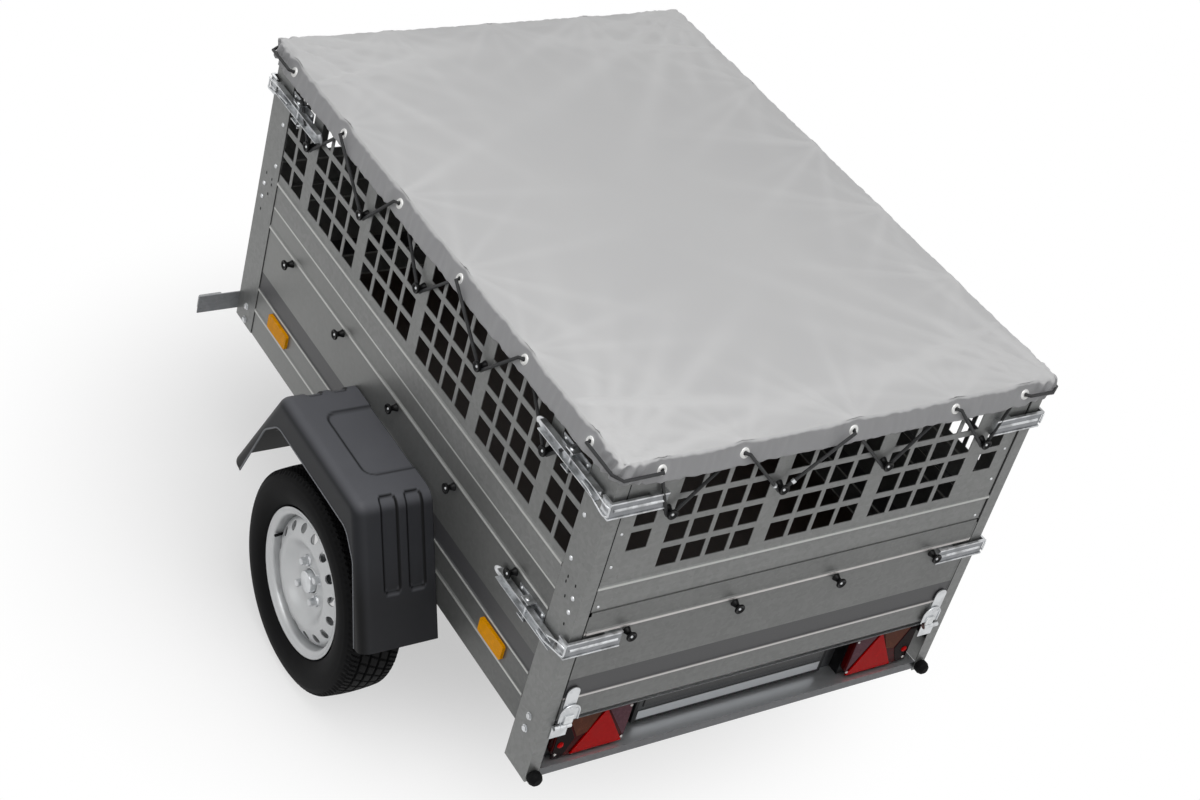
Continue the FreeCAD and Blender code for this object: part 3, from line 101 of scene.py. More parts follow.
def fresh_material(name):
    """A material with an empty node tree."""
    material = bpy.data.materials.new(name)
    material.use_nodes = True
    material.node_tree.nodes.clear()
    return material, material.node_tree


world = bpy.data.worlds.new("studio")
bpy.context.scene.world = world
world.use_nodes = True
sky = world.node_tree
sky.nodes.clear()
light, white = (add(sky, "Background", {"Color": linear("#ffffff"), "Strength": power})
                for power in (SKY_LIGHT, 1.0))
both = add(sky, "MixShader", {0: seen_rays(sky), 1: light.outputs[0], 2: white.outputs[0]})
add(sky, "OutputWorld", {"Surface": both.outputs[0]})

# Matt emulsion paint, which scatters light evenly, so the floor has soft shadows and no gloss.
floor_paint, tree = fresh_material("studio_floor_paint")
away = add(tree, "VectorMath", {0: add(tree, "TexCoord").outputs["Object"]}, operation="LENGTH")
fade = add(tree, "MapRange", {
    "Value": away.outputs["Value"], "From Min": FADE_START, "From Max": FADE_END, "To Min": FADE_LEAST},
    interpolation_type="SMOOTHSTEP")
matt = add(tree, "BsdfDiffuse", {"Color": linear("#f4f4f4")})
white = add(tree, "Emission", {"Color": linear("#ffffff"), "Strength": 1.0})
faded = add(tree, "Math", {0: fade.outputs[0], 1: seen_rays(tree)}, operation="MULTIPLY")
both = add(tree, "MixShader", {0: faded.outputs[0], 1: matt.outputs[0], 2: white.outputs[0]})
add(tree, "OutputMaterial", {"Surface": both.outputs[0]})
floor_mesh = bpy.data.meshes.new("studio_floor")
floor_corners = [(a * FLOOR_HALF, b * FLOOR_HALF, 0) for a, b in ((-1, -1), (1, -1), (1, 1), (-1, 1))]
floor_mesh.from_pydata(floor_corners, [], [(0, 1, 2, 3)])
floor_mesh.materials.append(floor_paint)
put("studio_floor", floor_mesh)

for name, place, size, power in (
        ("lamp_overhead", (-1.5, 0.9, 4.6), 3.6, 108),
        ("lamp_rear", (-4.6, -0.8, 2.4), 2.6, 12),
        ("lamp_left", (-0.2, 4.8, 2.4), 2.6, 12),
        ("lamp_front", (4.6, -1.6, 2.6), 2.6, 24)):
    lamp = put(name, bpy.data.lights.new(name, "AREA"))
    lamp.data.shape, lamp.data.size, lamp.data.energy = "DISK", size, power
    lamp.location = place
    lamp.rotation_euler = (LAMPS_AIM - Vector(place)).to_track_quat("-Z", "Y").to_euler()


# Elastic cord
# One black braided elastic, 7.6 mm thick, threaded through the cover's eyelets and hooked under every knob in turn,
# its two ends joined by a pair of zinc crimps at a rear knob. It is stretched, so its runs are straight.
REAR, FRONT, HALF = -1.187, 0.373, 0.562
PANEL_FACE, END_FACE, NECK_OUT = 0.560, 0.002, 0.0125
KNOB_HEIGHT, EYELET_HEIGHT, KNOB_PITCH = 1.105, 1.2295, 0.2785
COVER_STAND = 0.0105
SIDE_KNOBS = [REAR + 0.2235 + KNOB_PITCH * step for step in range(5)]
END_KNOBS = [KNOB_PITCH * (step - 1.5) for step in range(4)]
CORNER_INSET_SIDE, CORNER_INSET_END = 0.100, 0.084
CORD_RADIUS, NECK_RADIUS = 0.0038, 0.0064
HOOK_RADIUS, HOOK_ANGLES = NECK_RADIUS + CORD_RADIUS, (200, 235, 270, 305, 340)
# How far the cord stands out at a corner, then before and behind an eyelet, and how far it eases round a corner.
CORD_OUT, CORD_FRONT, CORD_IN, CORD_EASE = CORD_RADIUS + 0.0042, 0.0135, -0.0065, 0.004
EYELET_OUT, EYELET_PASS, EYELET_LEAN = 0.0032, 0.0045, math.radians(20)
CRIMPED_EDGE, CRIMPED_KNOB = 0, -KNOB_PITCH / 2


def shade(tree, inputs):
    """Ends a material in one shader with these inputs."""
    shader = add(tree, "BsdfPrincipled", inputs)
    add(tree, "OutputMaterial", {"Surface": shader.outputs[0]})


def piece(name, form, material, body="chassis", smooth=True):
    """A mesh that rides on a body, made from a form: a list of points and a list of faces."""
    mesh = bpy.data.meshes.new(name)
    mesh.from_pydata([tuple(point) for point in form[0]], [], form[1])
    mesh.validate()
    mesh.polygons.foreach_set("use_smooth", [smooth] * len(mesh.polygons))
    mesh.materials.append(material)
    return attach(put(name, mesh), body)


def quads(first, second, closed=True):
    """Faces between two rows of corner numbers, closed from the last corners to the first or left open."""
    after, beyond = [*first[1:], first[0]], [*second[1:], second[0]]
    faces = [tuple(dict.fromkeys(corners)) for corners in zip(first, after, beyond, second)]
    return faces if closed else faces[:-1]


def skin(rows, closed=True, joined=False):
    """Faces between each row of corner numbers and the next, and from the last to the first where they join."""
    following = rows[1:] + rows[:1] if joined else rows[1:]
    return [face for first, second in zip(rows, following) for face in quads(first, second, closed)]


def rows_of(points, count):
    """The corner numbers of points that come in rows of this length."""
    return [range(start, start + count) for start in range(0, len(points), count)]


def flipped(faces):
    """The same faces turned over."""
    return [face[::-1] for face in faces]


def around(sides):
    """Cosine and sine at even steps round a circle."""
    return [(math.cos(math.tau * turn / sides), math.sin(math.tau * turn / sides)) for turn in range(sides)]


def tube(path, radius, sides=10, closed=False):
    """Points and faces of a round tube along a path, its rings turned as little as they can be."""
    count = len(path)
    points = []
    side = (path[1] - (path[-1] if closed else path[0])).orthogonal().normalized()
    for index, spot in enumerate(path):
        after = path[(index + 1) % count] if closed or index < count - 1 else spot
        before = path[index - 1] if closed or index else spot
        along = (after - before).normalized()
        side = (side - along * side.dot(along)).normalized()
        other = along.cross(side)
        points += [spot + (side * a + other * b) * radius for a, b in around(sides)]
    rings = rows_of(points, sides)
    ends = [] if closed else [tuple(rings[0])[::-1], tuple(rings[-1])]
    return points, skin(rings, joined=closed) + ends


def stations(knobs, first, last):
    """The eyelets and knobs of one edge in turn, the eyelets half way between the knobs and near the corners."""
    between = [(a + b) / 2 for a, b in zip(knobs, knobs[1:])]
    row = [("eyelet", first)]
    for knob, hole in zip(knobs, between + [last]):
        row += [("knob", knob), ("eyelet", hole)]
    return row


side_row = stations(SIDE_KNOBS, REAR + CORNER_INSET_SIDE, FRONT - CORNER_INSET_SIDE)
side_row_back = [(kind, -run) for kind, run in side_row[::-1]]
end_row = stations(END_KNOBS, -HALF + CORNER_INSET_END, HALF - CORNER_INSET_END)
EDGES = (
    # along, outward, the panel's face, how far out the panel and the skirt reach, and the row that the cord takes
    (-LEFT, -AHEAD, -REAR - END_FACE, -REAR, CORNER_INSET_END, end_row),
    (AHEAD, -LEFT, PANEL_FACE, HALF, CORNER_INSET_SIDE, side_row),
    (LEFT, AHEAD, FRONT - END_FACE, FRONT, CORNER_INSET_END, end_row),
    (-AHEAD, LEFT, PANEL_FACE, HALF, CORNER_INSET_SIDE, side_row_back),
)
eyelets, cord_path, crimped_runs = [], [], []
for edge, (along, outward, face, reach, inset, row) in enumerate(EDGES):
    skirt = reach + COVER_STAND
    for number, (kind, run) in enumerate(row):
        if kind == "eyelet":
            hole = along * run + outward * (skirt + EYELET_OUT) + UP * EYELET_HEIGHT
            leaning = outward * math.cos(EYELET_LEAN) + UP * math.sin(EYELET_LEAN)
            eyelets.append((hole, outward, leaning))
            front, back = leaning * CORD_FRONT, outward * (CORD_IN - EYELET_OUT)
            from_outside = number % 4 == 0 and number < len(row) - 1
            enters, leaves = (front, back) if from_outside else (back, front)
            cord_path += [hole - along * EYELET_PASS + enters, hole, hole + along * EYELET_PASS + leaves]
            continue
        start = len(cord_path)
        if edge == CRIMPED_EDGE and abs(run - CRIMPED_KNOB) < KNOB_PITCH / 4:
            crimped_runs = [(start, start - 1), (start + len(HOOK_ANGLES) - 1, start + len(HOOK_ANGLES))]
        for angle in map(math.radians, HOOK_ANGLES):
            cord_path.append(along * (run + HOOK_RADIUS * math.cos(angle)) + outward * (face + NECK_OUT)
                             + UP * (KNOB_HEIGHT + HOOK_RADIUS * math.sin(angle)))
    bend = along * (row[-1][1] + inset) + outward * skirt + UP * (EYELET_HEIGHT - CORD_EASE)
    cord_path += [bend + outward * CORD_OUT * 1.2 - along * CORD_EASE,
                  bend + along * (COVER_STAND + CORD_OUT) - outward * CORD_EASE]

# Woven black polyester over rubber threads: a soft grey sheen on the bends, drawn by a fine slanting weave whose
# threads are 0.86 mm apart.
BRAID_SCALE = 420.0
braid, tree = fresh_material("braided_polyester_elastic")
weave = add(tree, "TexWave", {"Vector": add(tree, "TexCoord").outputs["Object"], "Scale": BRAID_SCALE,
                              "Distortion": 1.5, "Detail": 1.0}, bands_direction="DIAGONAL")
tint = add(tree, "ValToRGB", {0: weave.outputs["Fac"]})
tint.color_ramp.elements[0].color, tint.color_ramp.elements[1].color = linear("#0c0c0d"), linear("#2a2b2d")
relief = add(tree, "Bump", {"Height": weave.outputs["Fac"], "Strength": 0.5, "Distance": 0.0006})
shade(tree, {"Base Color": tint.outputs[0], "Roughness": 0.62, "Normal": relief.outputs[0]})
piece("elastic_cord", tube(cord_path, CORD_RADIUS, closed=True), braid)


# Body sheets
# Hot-dip galvanised sheet steel, folded and pressed with ridges. A printed dark stripe runs along the sides and the
# tailgate. The zinc is satin, with a faint spangle. The crowns of the ridges get a painted highlight, the sides are
# painted paler towards the front as a painted reflection, and faces of the rear beam that look up are painted paler
# as painted light.
STEEL, STRIPE, PAINTED_REFLECTION_STEEL = "#5f605f", "#3c3c3e", "#a4a5a3"
SIDE_RIDGES = (0.5330, 0.5980, 0.7870, 0.8445)
# The spangle is 9 mm across, and a rolling streak is about 140 mm long and 3 mm high.
SPANGLE_SIZE, STREAKS, STREAKS_DRAWN, CLOUDS = 0.009, 6.0, (1.2, 1.2, 60.0), 5.0
# Half widths of the painted highlight on a ridge's crown: full within the first, gone beyond the second.
RIDGE_TOP, RIDGE_CROWN = 0.0014, 0.0045


def dress(material, *nodes):
    """Gives CAD nodes a material."""
    for node in nodes:
        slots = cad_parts[node].data.materials
        slots.clear()
        slots.append(material)


def pair(word):
    """The names of two like nodes."""
    return [word + "_left", word + "_right"]


def toned(colour, factor):
    """A linear colour made darker or lighter."""
    return [min(part * factor, 1) for part in colour[:3]] + [1]


def galvanised(name, colour, ridges=(), stripe=None, metallic=0.5, roughness=0.42, crown="#c2c3c0", up=None,
               painted_reflection_ahead=False):
    """Zinc-coated sheet: spangle, long rolling streaks, a printed stripe by height, a painted highlight on each
    ridge crown, and where asked a painted reflection paler towards the front and painted light on faces that look
    up.
    """
    material, tree = fresh_material(name)
    where = add(tree, "TexCoord").outputs["Object"]
    spangle = add(tree, "TexVoronoi", {"Vector": where, "Scale": 1 / SPANGLE_SIZE})
    cloud = add(tree, "TexNoise", {"Vector": where, "Scale": CLOUDS, "Detail": 3.0})
    drawn = add(tree, "Mapping", {"Vector": where, "Scale": STREAKS_DRAWN})
    streak = add(tree, "TexNoise", {"Vector": drawn.outputs[0], "Scale": STREAKS, "Detail": 4.0})
    grain = add(tree, "Math", {0: spangle.outputs["Color"], 1: streak.outputs["Fac"]}, operation="ADD")
    uneven = add(tree, "Math", {0: grain.outputs[0], 1: cloud.outputs["Fac"]}, operation="ADD")
    share = add(tree, "MapRange", {"Value": uneven.outputs[0], "From Min": 0.9, "From Max": 2.1})
    base = linear(colour)
    shown = add(tree, "Mix", {0: share.outputs[0], 6: toned(base, 0.88), 7: toned(base, 1.10)}, data_type="RGBA")
    place = add(tree, "SeparateXYZ", {0: where}).outputs
    gloss, layers = metallic, []
    # Painted reflection: the sheet is painted paler towards the front.
    if painted_reflection_ahead:
        ahead = add(tree, "MapRange", {"Value": place["X"], "From Min": -1.1, "From Max": 0.3, "To Max": 0.42})
        layers.append((ahead.outputs[0], PAINTED_REFLECTION_STEEL))
    if stripe:
        low, high = stripe
        inside = add(tree, "Math", {0: place["Z"], 1: (low + high) / 2, 2: (high - low) / 2}, operation="COMPARE")
        layers.append((inside.outputs[0], STRIPE))
        bare = add(tree, "Math", {0: 1.0, 1: inside.outputs[0]}, operation="SUBTRACT")
        gloss = add(tree, "Math", {0: bare.outputs[0], 1: metallic}, operation="MULTIPLY").outputs[0]
    # Painted highlight along the crown of each ridge.
    for ridge in ridges:
        off = add(tree, "Math", {0: place["Z"], 1: ridge}, operation="SUBTRACT")
        off = add(tree, "Math", {0: off.outputs[0]}, operation="ABSOLUTE")
        crest_highlight = add(tree, "MapRange", {"Value": off.outputs[0], "From Min": RIDGE_TOP, "From Max": RIDGE_CROWN,
                                       "To Min": 1.0, "To Max": 0.0}, interpolation_type="SMOOTHSTEP")
        layers.append((crest_highlight.outputs[0], crown))
    # Painted light: faces that look up are painted paler.
    if up:
        turned_up = add(tree, "SeparateXYZ", {0: add(tree, "TexCoord").outputs["Normal"]}).outputs["Z"]
        painted_light_above = add(tree, "MapRange", {"Value": turned_up, "From Min": 0.5, "From Max": 0.9})
        layers.append((painted_light_above.outputs[0], up))
    for share, tone in layers:
        shown = add(tree, "Mix", {0: share, 6: shown.outputs[2], 7: linear(tone)}, data_type="RGBA")
    relief = add(tree, "Bump", {"Height": uneven.outputs[0], "Strength": 0.12, "Distance": 0.0006})
    shade(tree, {"Base Color": shown.outputs[2], "Metallic": gloss, "Roughness": roughness,
                 "Normal": relief.outputs[0]})
    return material


side_sheet = galvanised("galvanised_side_sheet", STEEL, SIDE_RIDGES, (0.5985, 0.6520), painted_reflection_ahead=True)
gate_sheet = galvanised("galvanised_gate_sheet", "#6f706f", (0.5980, 0.7870), (0.5990, 0.6540), crown="#d0ccca")
mesh_sheet = galvanised("galvanised_mesh_sheet", "#7d7e7d", (0.9120,))
post_sheet = galvanised("galvanised_posts", "#7e7f7e")
frame_steel = galvanised("galvanised_frame_steel", "#8b8d90", roughness=0.5)
# The rear beam's faces that look up are painted paler, as painted light.
shelf_steel = galvanised("galvanised_rear_beam", "#5e5f61", metallic=0.85, roughness=0.34, up="#d4d6d8")
dress(side_sheet, *pair("side_panel"), "front_panel")
dress(gate_sheet, "tailgate_panel")
dress(mesh_sheet, *pair("mesh_panel"), "mesh_panel_front", "mesh_panel_rear")
dress(post_sheet, *pair("rear_post"), *pair("front_post"), "upper_posts_rear", "upper_posts_front")
dress(shelf_steel, "rear_crossmember")
dress(frame_steel, *pair("chassis_rail"), "cross_members", "drawbar", "axle_beam", *pair("axle_arm"),
      "axle_seats", "marker_brackets")


# Zinc-plated fittings
# Small steel parts barrel-plated with zinc: brighter and smoother than the hot-dipped sheets.
PLATING, PLATING_PATCH = "#d2d4d6", 0.025


def plated(name, colour, roughness=0.3, clouded=0.84):
    """Electroplated zinc: bright, with cloudy patches where the bath left it duller."""
    material, tree = fresh_material(name)
    where = add(tree, "TexCoord").outputs["Object"]
    cloud = add(tree, "TexNoise", {"Vector": where, "Scale": 1 / PLATING_PATCH, "Detail": 3.0}).outputs["Fac"]
    patch = add(tree, "MapRange", {"Value": cloud, "From Min": 0.36, "From Max": 0.58}).outputs[0]
    base = linear(colour)
    shown = add(tree, "Mix", {0: patch, 6: toned(base, clouded), 7: base}, data_type="RGBA").outputs[2]
    relief = add(tree, "Bump", {"Height": cloud, "Strength": 0.1, "Distance": 0.0005}).outputs[0]
    shade(tree, {"Base Color": shown, "Metallic": 0.9, "Roughness": roughness, "Normal": relief})
    return material


bright_zinc = plated("bright_zinc_plate", PLATING)
latch_zinc = plated("latch_zinc_plate", PLATING, clouded=0.56)
dress(bright_zinc, *pair("hub"), "tailgate_hinges", "hinge_feet", "coupling_head", "coupling_handle",
      "jockey_clamp", "jockey_tube", "jockey_crank", "jockey_fork")
dress(latch_zinc, "tailgate_straps", "upper_straps", "lower_levers", "upper_levers")


# Floor board
# Film-faced birch plywood, its brown film pressed with a fine wire pattern that keeps a load from sliding. The film
# is half glossy and the grain of the birch just shows through it.
# The film has 220 wires to the metre, and a grain of the birch is about 170 mm long and 11 mm wide.
WIRES, GRAINS, GRAINS_DRAWN = 220.0, 3.0, (2.0, 30.0, 30.0)
board, tree = fresh_material("film_faced_plywood")
where = add(tree, "TexCoord").outputs["Object"]
drawn = add(tree, "Mapping", {"Vector": where, "Scale": GRAINS_DRAWN})
grain = add(tree, "TexNoise", {"Vector": drawn.outputs[0], "Scale": GRAINS, "Detail": 5.0})
wires = add(tree, "TexVoronoi", {"Vector": where, "Scale": WIRES}, feature="DISTANCE_TO_EDGE")
relief = add(tree, "Bump", {"Height": wires.outputs["Distance"], "Strength": 0.3, "Distance": 0.001})
shown = add(tree, "Mix", {0: grain.outputs["Fac"], 6: linear("#2a201b"), 7: linear("#3e2d23")}, data_type="RGBA")
shade(tree, {"Base Color": shown.outputs[2], "Roughness": 0.45, "Normal": relief.outputs[0]})
dress(board, "floor_board")


# Flat cover
# One sheet of light grey coated polyester, cut with a skirt and welded at the corners. The elastic pulls the skirt
# over the mesh, so it is tight along the edges, with folds at the corners and faint ones running in from them.
COVER_LOW, COVER_TOP = Vector((-1.1975, -0.5725, 1.198)), Vector((0.3835, 0.5725, 1.2546))
EDGE_ROLL, TOP_RADIUS, HEM, CLOTH_WALL = 0.005, 0.011, 0.006, 0.0016
LINE_PITCH, CORNER_LINES = 0.008, (0.0, 0.002, 0.0045, 0.0075, 0.011, 0.016)
FOLD_FOOT, FULL_CREST = 0.006, 0.003
# The limits between which a fold's reach, height and spread are drawn.
EYELET_FOLDS = (0.2, 0.6), (0.0012, 0.0026), (0.03, 0.06)
CORNER_FOLDS = (0.5, 0.95), (0.002, 0.004), (0.03, 0.05)
EYELET_TURNS, CORNER_TURNS = (-1.05, -0.6, -0.2, 0.25, 0.65, 1.1), (-0.55, -0.25, 0.05, 0.3, 0.55)
# How far the cloth sags and swells inside its taut edge, and the height, width and places of its welded seams.
SAG, SLACK, TAUT_WIDTH, LEVEL, SWELL = 0.004, 0.0024, 0.05, -0.0022, (0.0022, 0.0003)
SEAM, SEAM_WIDTH, SEAMS_ALONG, SEAMS_ACROSS = 0.0005, 0.006, (-0.19, 0.19), (-0.39, 0.0, 0.39)
# Puckers along the edge, and the dip and the crumples of a corner, each with its height and how far it reaches.
PUCKER, CORNER_DIP, CORNER_CRUMPLE = (0.0050, 0.010), (0.0035, 0.06), (0.011, 0.09)
ON_PANEL, PANEL_TOP_WIDTH, PUFF = -0.0019, 0.034, 0.0035
# How far down each row of the skirt lies, and how it leans out, is pulled at an eyelet and gathered at a corner.
SKIRT_DROPS = [
    0.0006, 0.002, 0.0042, 0.007, 0.011, 0.016, 0.022, 0.028, 0.034, 0.040, 0.045, 0.050, 0.0535, 0.0560]
SKIRT_LEAN, EYELET_PULL, EYELET_FLAT, GATHER = 0.006, 0.018, 0.013, 0.05
# Heights of its ripples, and how far its hem waves, lifts at an eyelet and hangs down at a corner.
RIPPLE_WIDE, RIPPLE_NARROW, RIPPLE_GATHERED, HEM_WAVE, HEM_LIFT, CORNER_HANG = (
    0.0030, 0.0026, 0.0044, 0.0024, 0.0022, 0.015)
top_half_x, top_half_y = ((COVER_TOP[k] - COVER_LOW[k]) / 2 - EDGE_ROLL for k in (0, 1))
middle = (COVER_LOW + COVER_TOP).xy / 2
skirt_depth = COVER_TOP.z - COVER_LOW.z


def lines(half):
    """Places of the mesh lines from edge to edge: close together in the corners, else about 8 mm apart."""
    inner = half - CORNER_LINES[-1]
    count = round(inner * 2 / LINE_PITCH)
    low = [-half + place for place in CORNER_LINES]
    even = [-inner + inner * 2 / count * number for number in range(1, count)]
    return low + even + [-place for place in low[::-1]]


def rounded(x, y):
    """A place on the top's square border moved to the one with round corners, and the way out there."""
    inner_x, inner_y = top_half_x - TOP_RADIUS, top_half_y - TOP_RADIUS
    kept = Vector((max(-inner_x, min(inner_x, x)), max(-inner_y, min(inner_y, y))))
    out = Vector((x, y)) - kept
    out = out.normalized() if out.length > 1e-6 else Vector((0, 0))
    return kept + out * TOP_RADIUS, out


def lengths_along(line):
    """How far along a line each of its points is."""
    lengths = [0.0]
    for before, after in zip(line, line[1:]):
        lengths.append(lengths[-1] + (after - before).length)
    return lengths


def bell(distance, width):
    """One at a place, and less with the distance from it."""
    return math.exp(-(distance / width) ** 2)


def crumple(x, y, scale, seed):
    """Noise with bumps of 1 / scale metres, between minus one and one."""
    return noise.noise(Vector((x * scale, y * scale, seed)))


def ray_height(x, y, ray):
    """The height of one fold that runs in from a place where the cloth is pulled, wider the further it gets."""
    spot, heading, reach, height, spread = ray
    away = Vector((x, y)) - spot
    run = away.dot(heading)
    off, width = away.x * heading.y - away.y * heading.x, FOLD_FOOT + run * spread
    if run <= 0 or run >= reach or abs(off) > 2.5 * width:
        return 0
    return height * min(run / 0.02, 1) * (1 - run / reach) * bell(off, width)


pulls = [(spot.xy - middle, -outward.xy) for spot, outward, leaning in eyelets]
corners = [Vector((a * top_half_x, b * top_half_y)) for a in (-1, 1) for b in (-1, 1)]
draw, rays = random.Random(7), []
for spot, inward in pulls:
    for turn in EYELET_TURNS:
        heading = Matrix.Rotation(turn + draw.uniform(-0.16, 0.16), 2) @ inward
        rays.append((spot, heading, *(draw.uniform(*limits) for limits in EYELET_FOLDS)))
for corner in corners:
    inward = Vector((-corner.x * 0.75, -corner.y)).normalized()
    for turn in CORNER_TURNS:
        heading = Matrix.Rotation(turn + draw.uniform(-0.08, 0.08), 2) @ inward
        rays.append((corner, heading, *(draw.uniform(*limits) for limits in CORNER_FOLDS)))
    heading = Vector((-corner.x * 0.2, -corner.y)).normalized()
    heading = Matrix.Rotation(math.copysign(0.5, corner.x * corner.y), 2) @ heading
    rays.append((corner - Vector((math.copysign(0.2, corner.x), 0)), heading, 0.6, 0.006, 0.05))


def cover_folds(x, y):
    """The summed height of the folds at a place."""
    return sum(ray_height(x, y, ray) for ray in rays)


def cover_height(x, y, folds):
    """How far the cloth lies above the solid cover: it sags and swells inside, lies on the panels at its edge, is
    raised by welded seams and by the folds, puckered at the edge and crumpled in the corners."""
    edge = min(top_half_x - abs(x), top_half_y - abs(y))
    free = 1 - math.exp(-max(edge, 0) / TAUT_WIDTH)
    sag = SAG * (1 - (x / top_half_x) ** 2) * (1 - (y / top_half_y) ** 2)
    swell = SWELL[0] * noise.noise(Vector((x * 3.1, y * 3.7, 4.2)))
    swell += SWELL[1] * noise.noise(Vector((x * 9, y * 8, 1.7)))
    seams = SEAM * sum(bell(y - place, SEAM_WIDTH) for place in SEAMS_ALONG)
    seams += SEAM * sum(bell(x - place, SEAM_WIDTH) for place in SEAMS_ACROSS)
    pucker = abs(crumple(x, y, 38, 7.7)) * PUCKER[0] * math.exp(-max(edge, 0) / PUCKER[1])
    dent = 0
    for corner in corners:
        far = math.hypot(x - corner.x, y - corner.y)
        if far < 0.2:
            dent += CORNER_DIP[0] * bell(far, CORNER_DIP[1])
            dent -= abs(crumple(x, y, 48, 2.9)) * CORNER_CRUMPLE[0] * bell(far, CORNER_CRUMPLE[1])
    height = -sag + (swell - SLACK + seams) * free + folds + pucker - dent + LEVEL
    return min(max(height, ON_PANEL) if edge < PANEL_TOP_WIDTH else height, PUFF)


across, down = lines(top_half_x), lines(top_half_y)
points, crest_highlight_shares = [], []
for x in across:
    for y in down:
        on_edge = abs(abs(x) - top_half_x) < 1e-6 or abs(abs(y) - top_half_y) < 1e-6
        place = rounded(x, y)[0] if on_edge else Vector((x, y))
        folds = cover_folds(x, y)
        crest_highlight_shares.append(min(folds / FULL_CREST, 1))
        points.append((*(middle + place), COVER_TOP.z + cover_height(x, y, folds)))
rows = len(down)
strips = [range(start, len(points), rows) for start in range(rows)]
faces = skin(strips, closed=False)
previous = [*strips[0], *(strip[-1] for strip in strips[1:]), *strips[-1][-2::-1],
            *(strip[0] for strip in strips[-2:0:-1])]
border = [Vector((across[corner // rows], down[corner % rows])) for corner in previous]
spots = [spot for before, after in zip(border, border[1:] + border[:1])
         for spot in (before, (before + after) / 2)]
runs = lengths_along(spots)
edge_heights = [cover_height(spot.x, spot.y, cover_folds(spot.x, spot.y)) for spot in spots]
turned_hem = [(SKIRT_DROPS[-1] - 0.001, CLOTH_WALL), (SKIRT_DROPS[-1] - HEM, CLOTH_WALL)]
for drop, turned_in in [(drop, 0) for drop in SKIRT_DROPS] + turned_hem:
    ring = range(len(points), len(points) + len(spots))
    for spot, run, height in zip(spots, runs, edge_heights):
        place, out = rounded(spot.x, spot.y)
        reach = EDGE_ROLL * math.sin(min(drop / EDGE_ROLL, 1) * math.pi / 2)
        corner_distance = min((spot - corner).length for corner in corners)
        pull_distance = min((spot - pull).length for pull, inward in pulls)
        at_eyelet = bell(pull_distance, EYELET_PULL)
        ripple = noise.noise(Vector((run * 14, drop * 6, 9.1))) * RIPPLE_WIDE
        ripple += noise.noise(Vector((run * 62, drop * 16, 2.2))) * RIPPLE_NARROW
        ripple += math.sin(run * 240 + drop * 60) * RIPPLE_GATHERED * math.exp(-corner_distance / GATHER)
        ripple *= min(drop / 0.008, 1) * (1 - at_eyelet)
        from_eyelet = max(-EYELET_FLAT, min(drop - COVER_TOP.z + EYELET_HEIGHT, EYELET_FLAT))
        lean = SKIRT_LEAN * drop / skirt_depth + math.tan(EYELET_LEAN) * from_eyelet * at_eyelet
        droop = noise.noise(Vector((run * 6, 0.5, 3.3))) * HEM_WAVE - HEM_LIFT * math.exp(-pull_distance / 0.02)
        droop -= CORNER_HANG * bell(corner_distance, GATHER)
        place = middle + place + out * (reach + ripple + lean - turned_in)
        points.append((*place, COVER_TOP.z + height - drop * (1 + droop / skirt_depth)))
    if len(previous) == len(ring):
        faces += flipped(quads(previous, ring))
    else:
        for number, corner in enumerate(previous):
            below = ring[2 * number], ring[2 * number + 1], ring[(2 * number + 2) % len(ring)]
            faces.append((previous[(number + 1) % len(previous)], corner, *below))
    previous = ring
crest_highlight_shares += [0.0] * (len(points) - len(crest_highlight_shares))

# Woven polyester under a satin coat: the threads, under 1 mm apart, just show, drawn 2.5 mm apart here. It is
# painted paler on the crests of its folds, a painted highlight, and painted greyer where it hangs upright, a painted
# shade.
THREAD_PITCH, COAT_CLOUDS, CREASES = 0.0025, 2.6, 16.0
cloth, tree = fresh_material("coated_polyester_cover")
where = add(tree, "TexCoord").outputs
threads = [add(tree, "TexWave", {"Vector": where["Object"], "Scale": math.tau / THREAD_PITCH / 20},
               bands_direction=way).outputs["Fac"] for way in "XYZ"]
crossing = add(tree, "Math", {0: threads[0], 1: threads[1]}, operation="ADD").outputs[0]
weave = add(tree, "Math", {0: crossing, 1: threads[2]}, operation="ADD").outputs[0]
cloud = add(tree, "TexNoise", {"Vector": where["Object"], "Scale": COAT_CLOUDS, "Detail": 4.0}).outputs["Fac"]
# Painted highlight on the crests of the folds, and painted shade where the cloth hangs upright.
crest_highlight = add(tree, "Attribute", attribute_name="crest_highlight").outputs["Fac"]
painted_crest_light = add(tree, "Math", {0: crest_highlight, 1: 0.3}, operation="MULTIPLY").outputs[0]
skyward = add(tree, "SeparateXYZ", {0: where["Normal"]}).outputs["Z"]
painted_upright_shade = add(tree, "MapRange", {"Value": skyward, "From Min": 0.75, "From Max": 0.25}).outputs[0]
shown = linear("#b1b1b2")
for share, tone in ((cloud, "#bababa"), (painted_upright_shade, "#98989a"), (painted_crest_light, "#d4d4d4")):
    shown = add(tree, "Mix", {0: share, 6: shown, 7: linear(tone)}, data_type="RGBA").outputs[2]
crease = add(tree, "TexNoise", {"Vector": where["Object"], "Scale": CREASES, "Detail": 5.0, "Distortion": 1.2})
fine = add(tree, "Bump", {"Height": weave, "Strength": 0.10, "Distance": 0.0005})
relief = add(tree, "Bump", {
    "Height": crease.outputs["Fac"], "Strength": 0.14, "Distance": 0.0022, "Normal": fine.outputs[0]})
shade(tree, {"Base Color": shown, "Roughness": 0.55, "Sheen Weight": 0.15, "Normal": relief.outputs[0]})
cover = piece("flat_cover", (points, faces), cloth)
cover.data.attributes.new("crest_highlight", "FLOAT", "POINT").data.foreach_set("value", crest_highlight_shares)
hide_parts("cover")


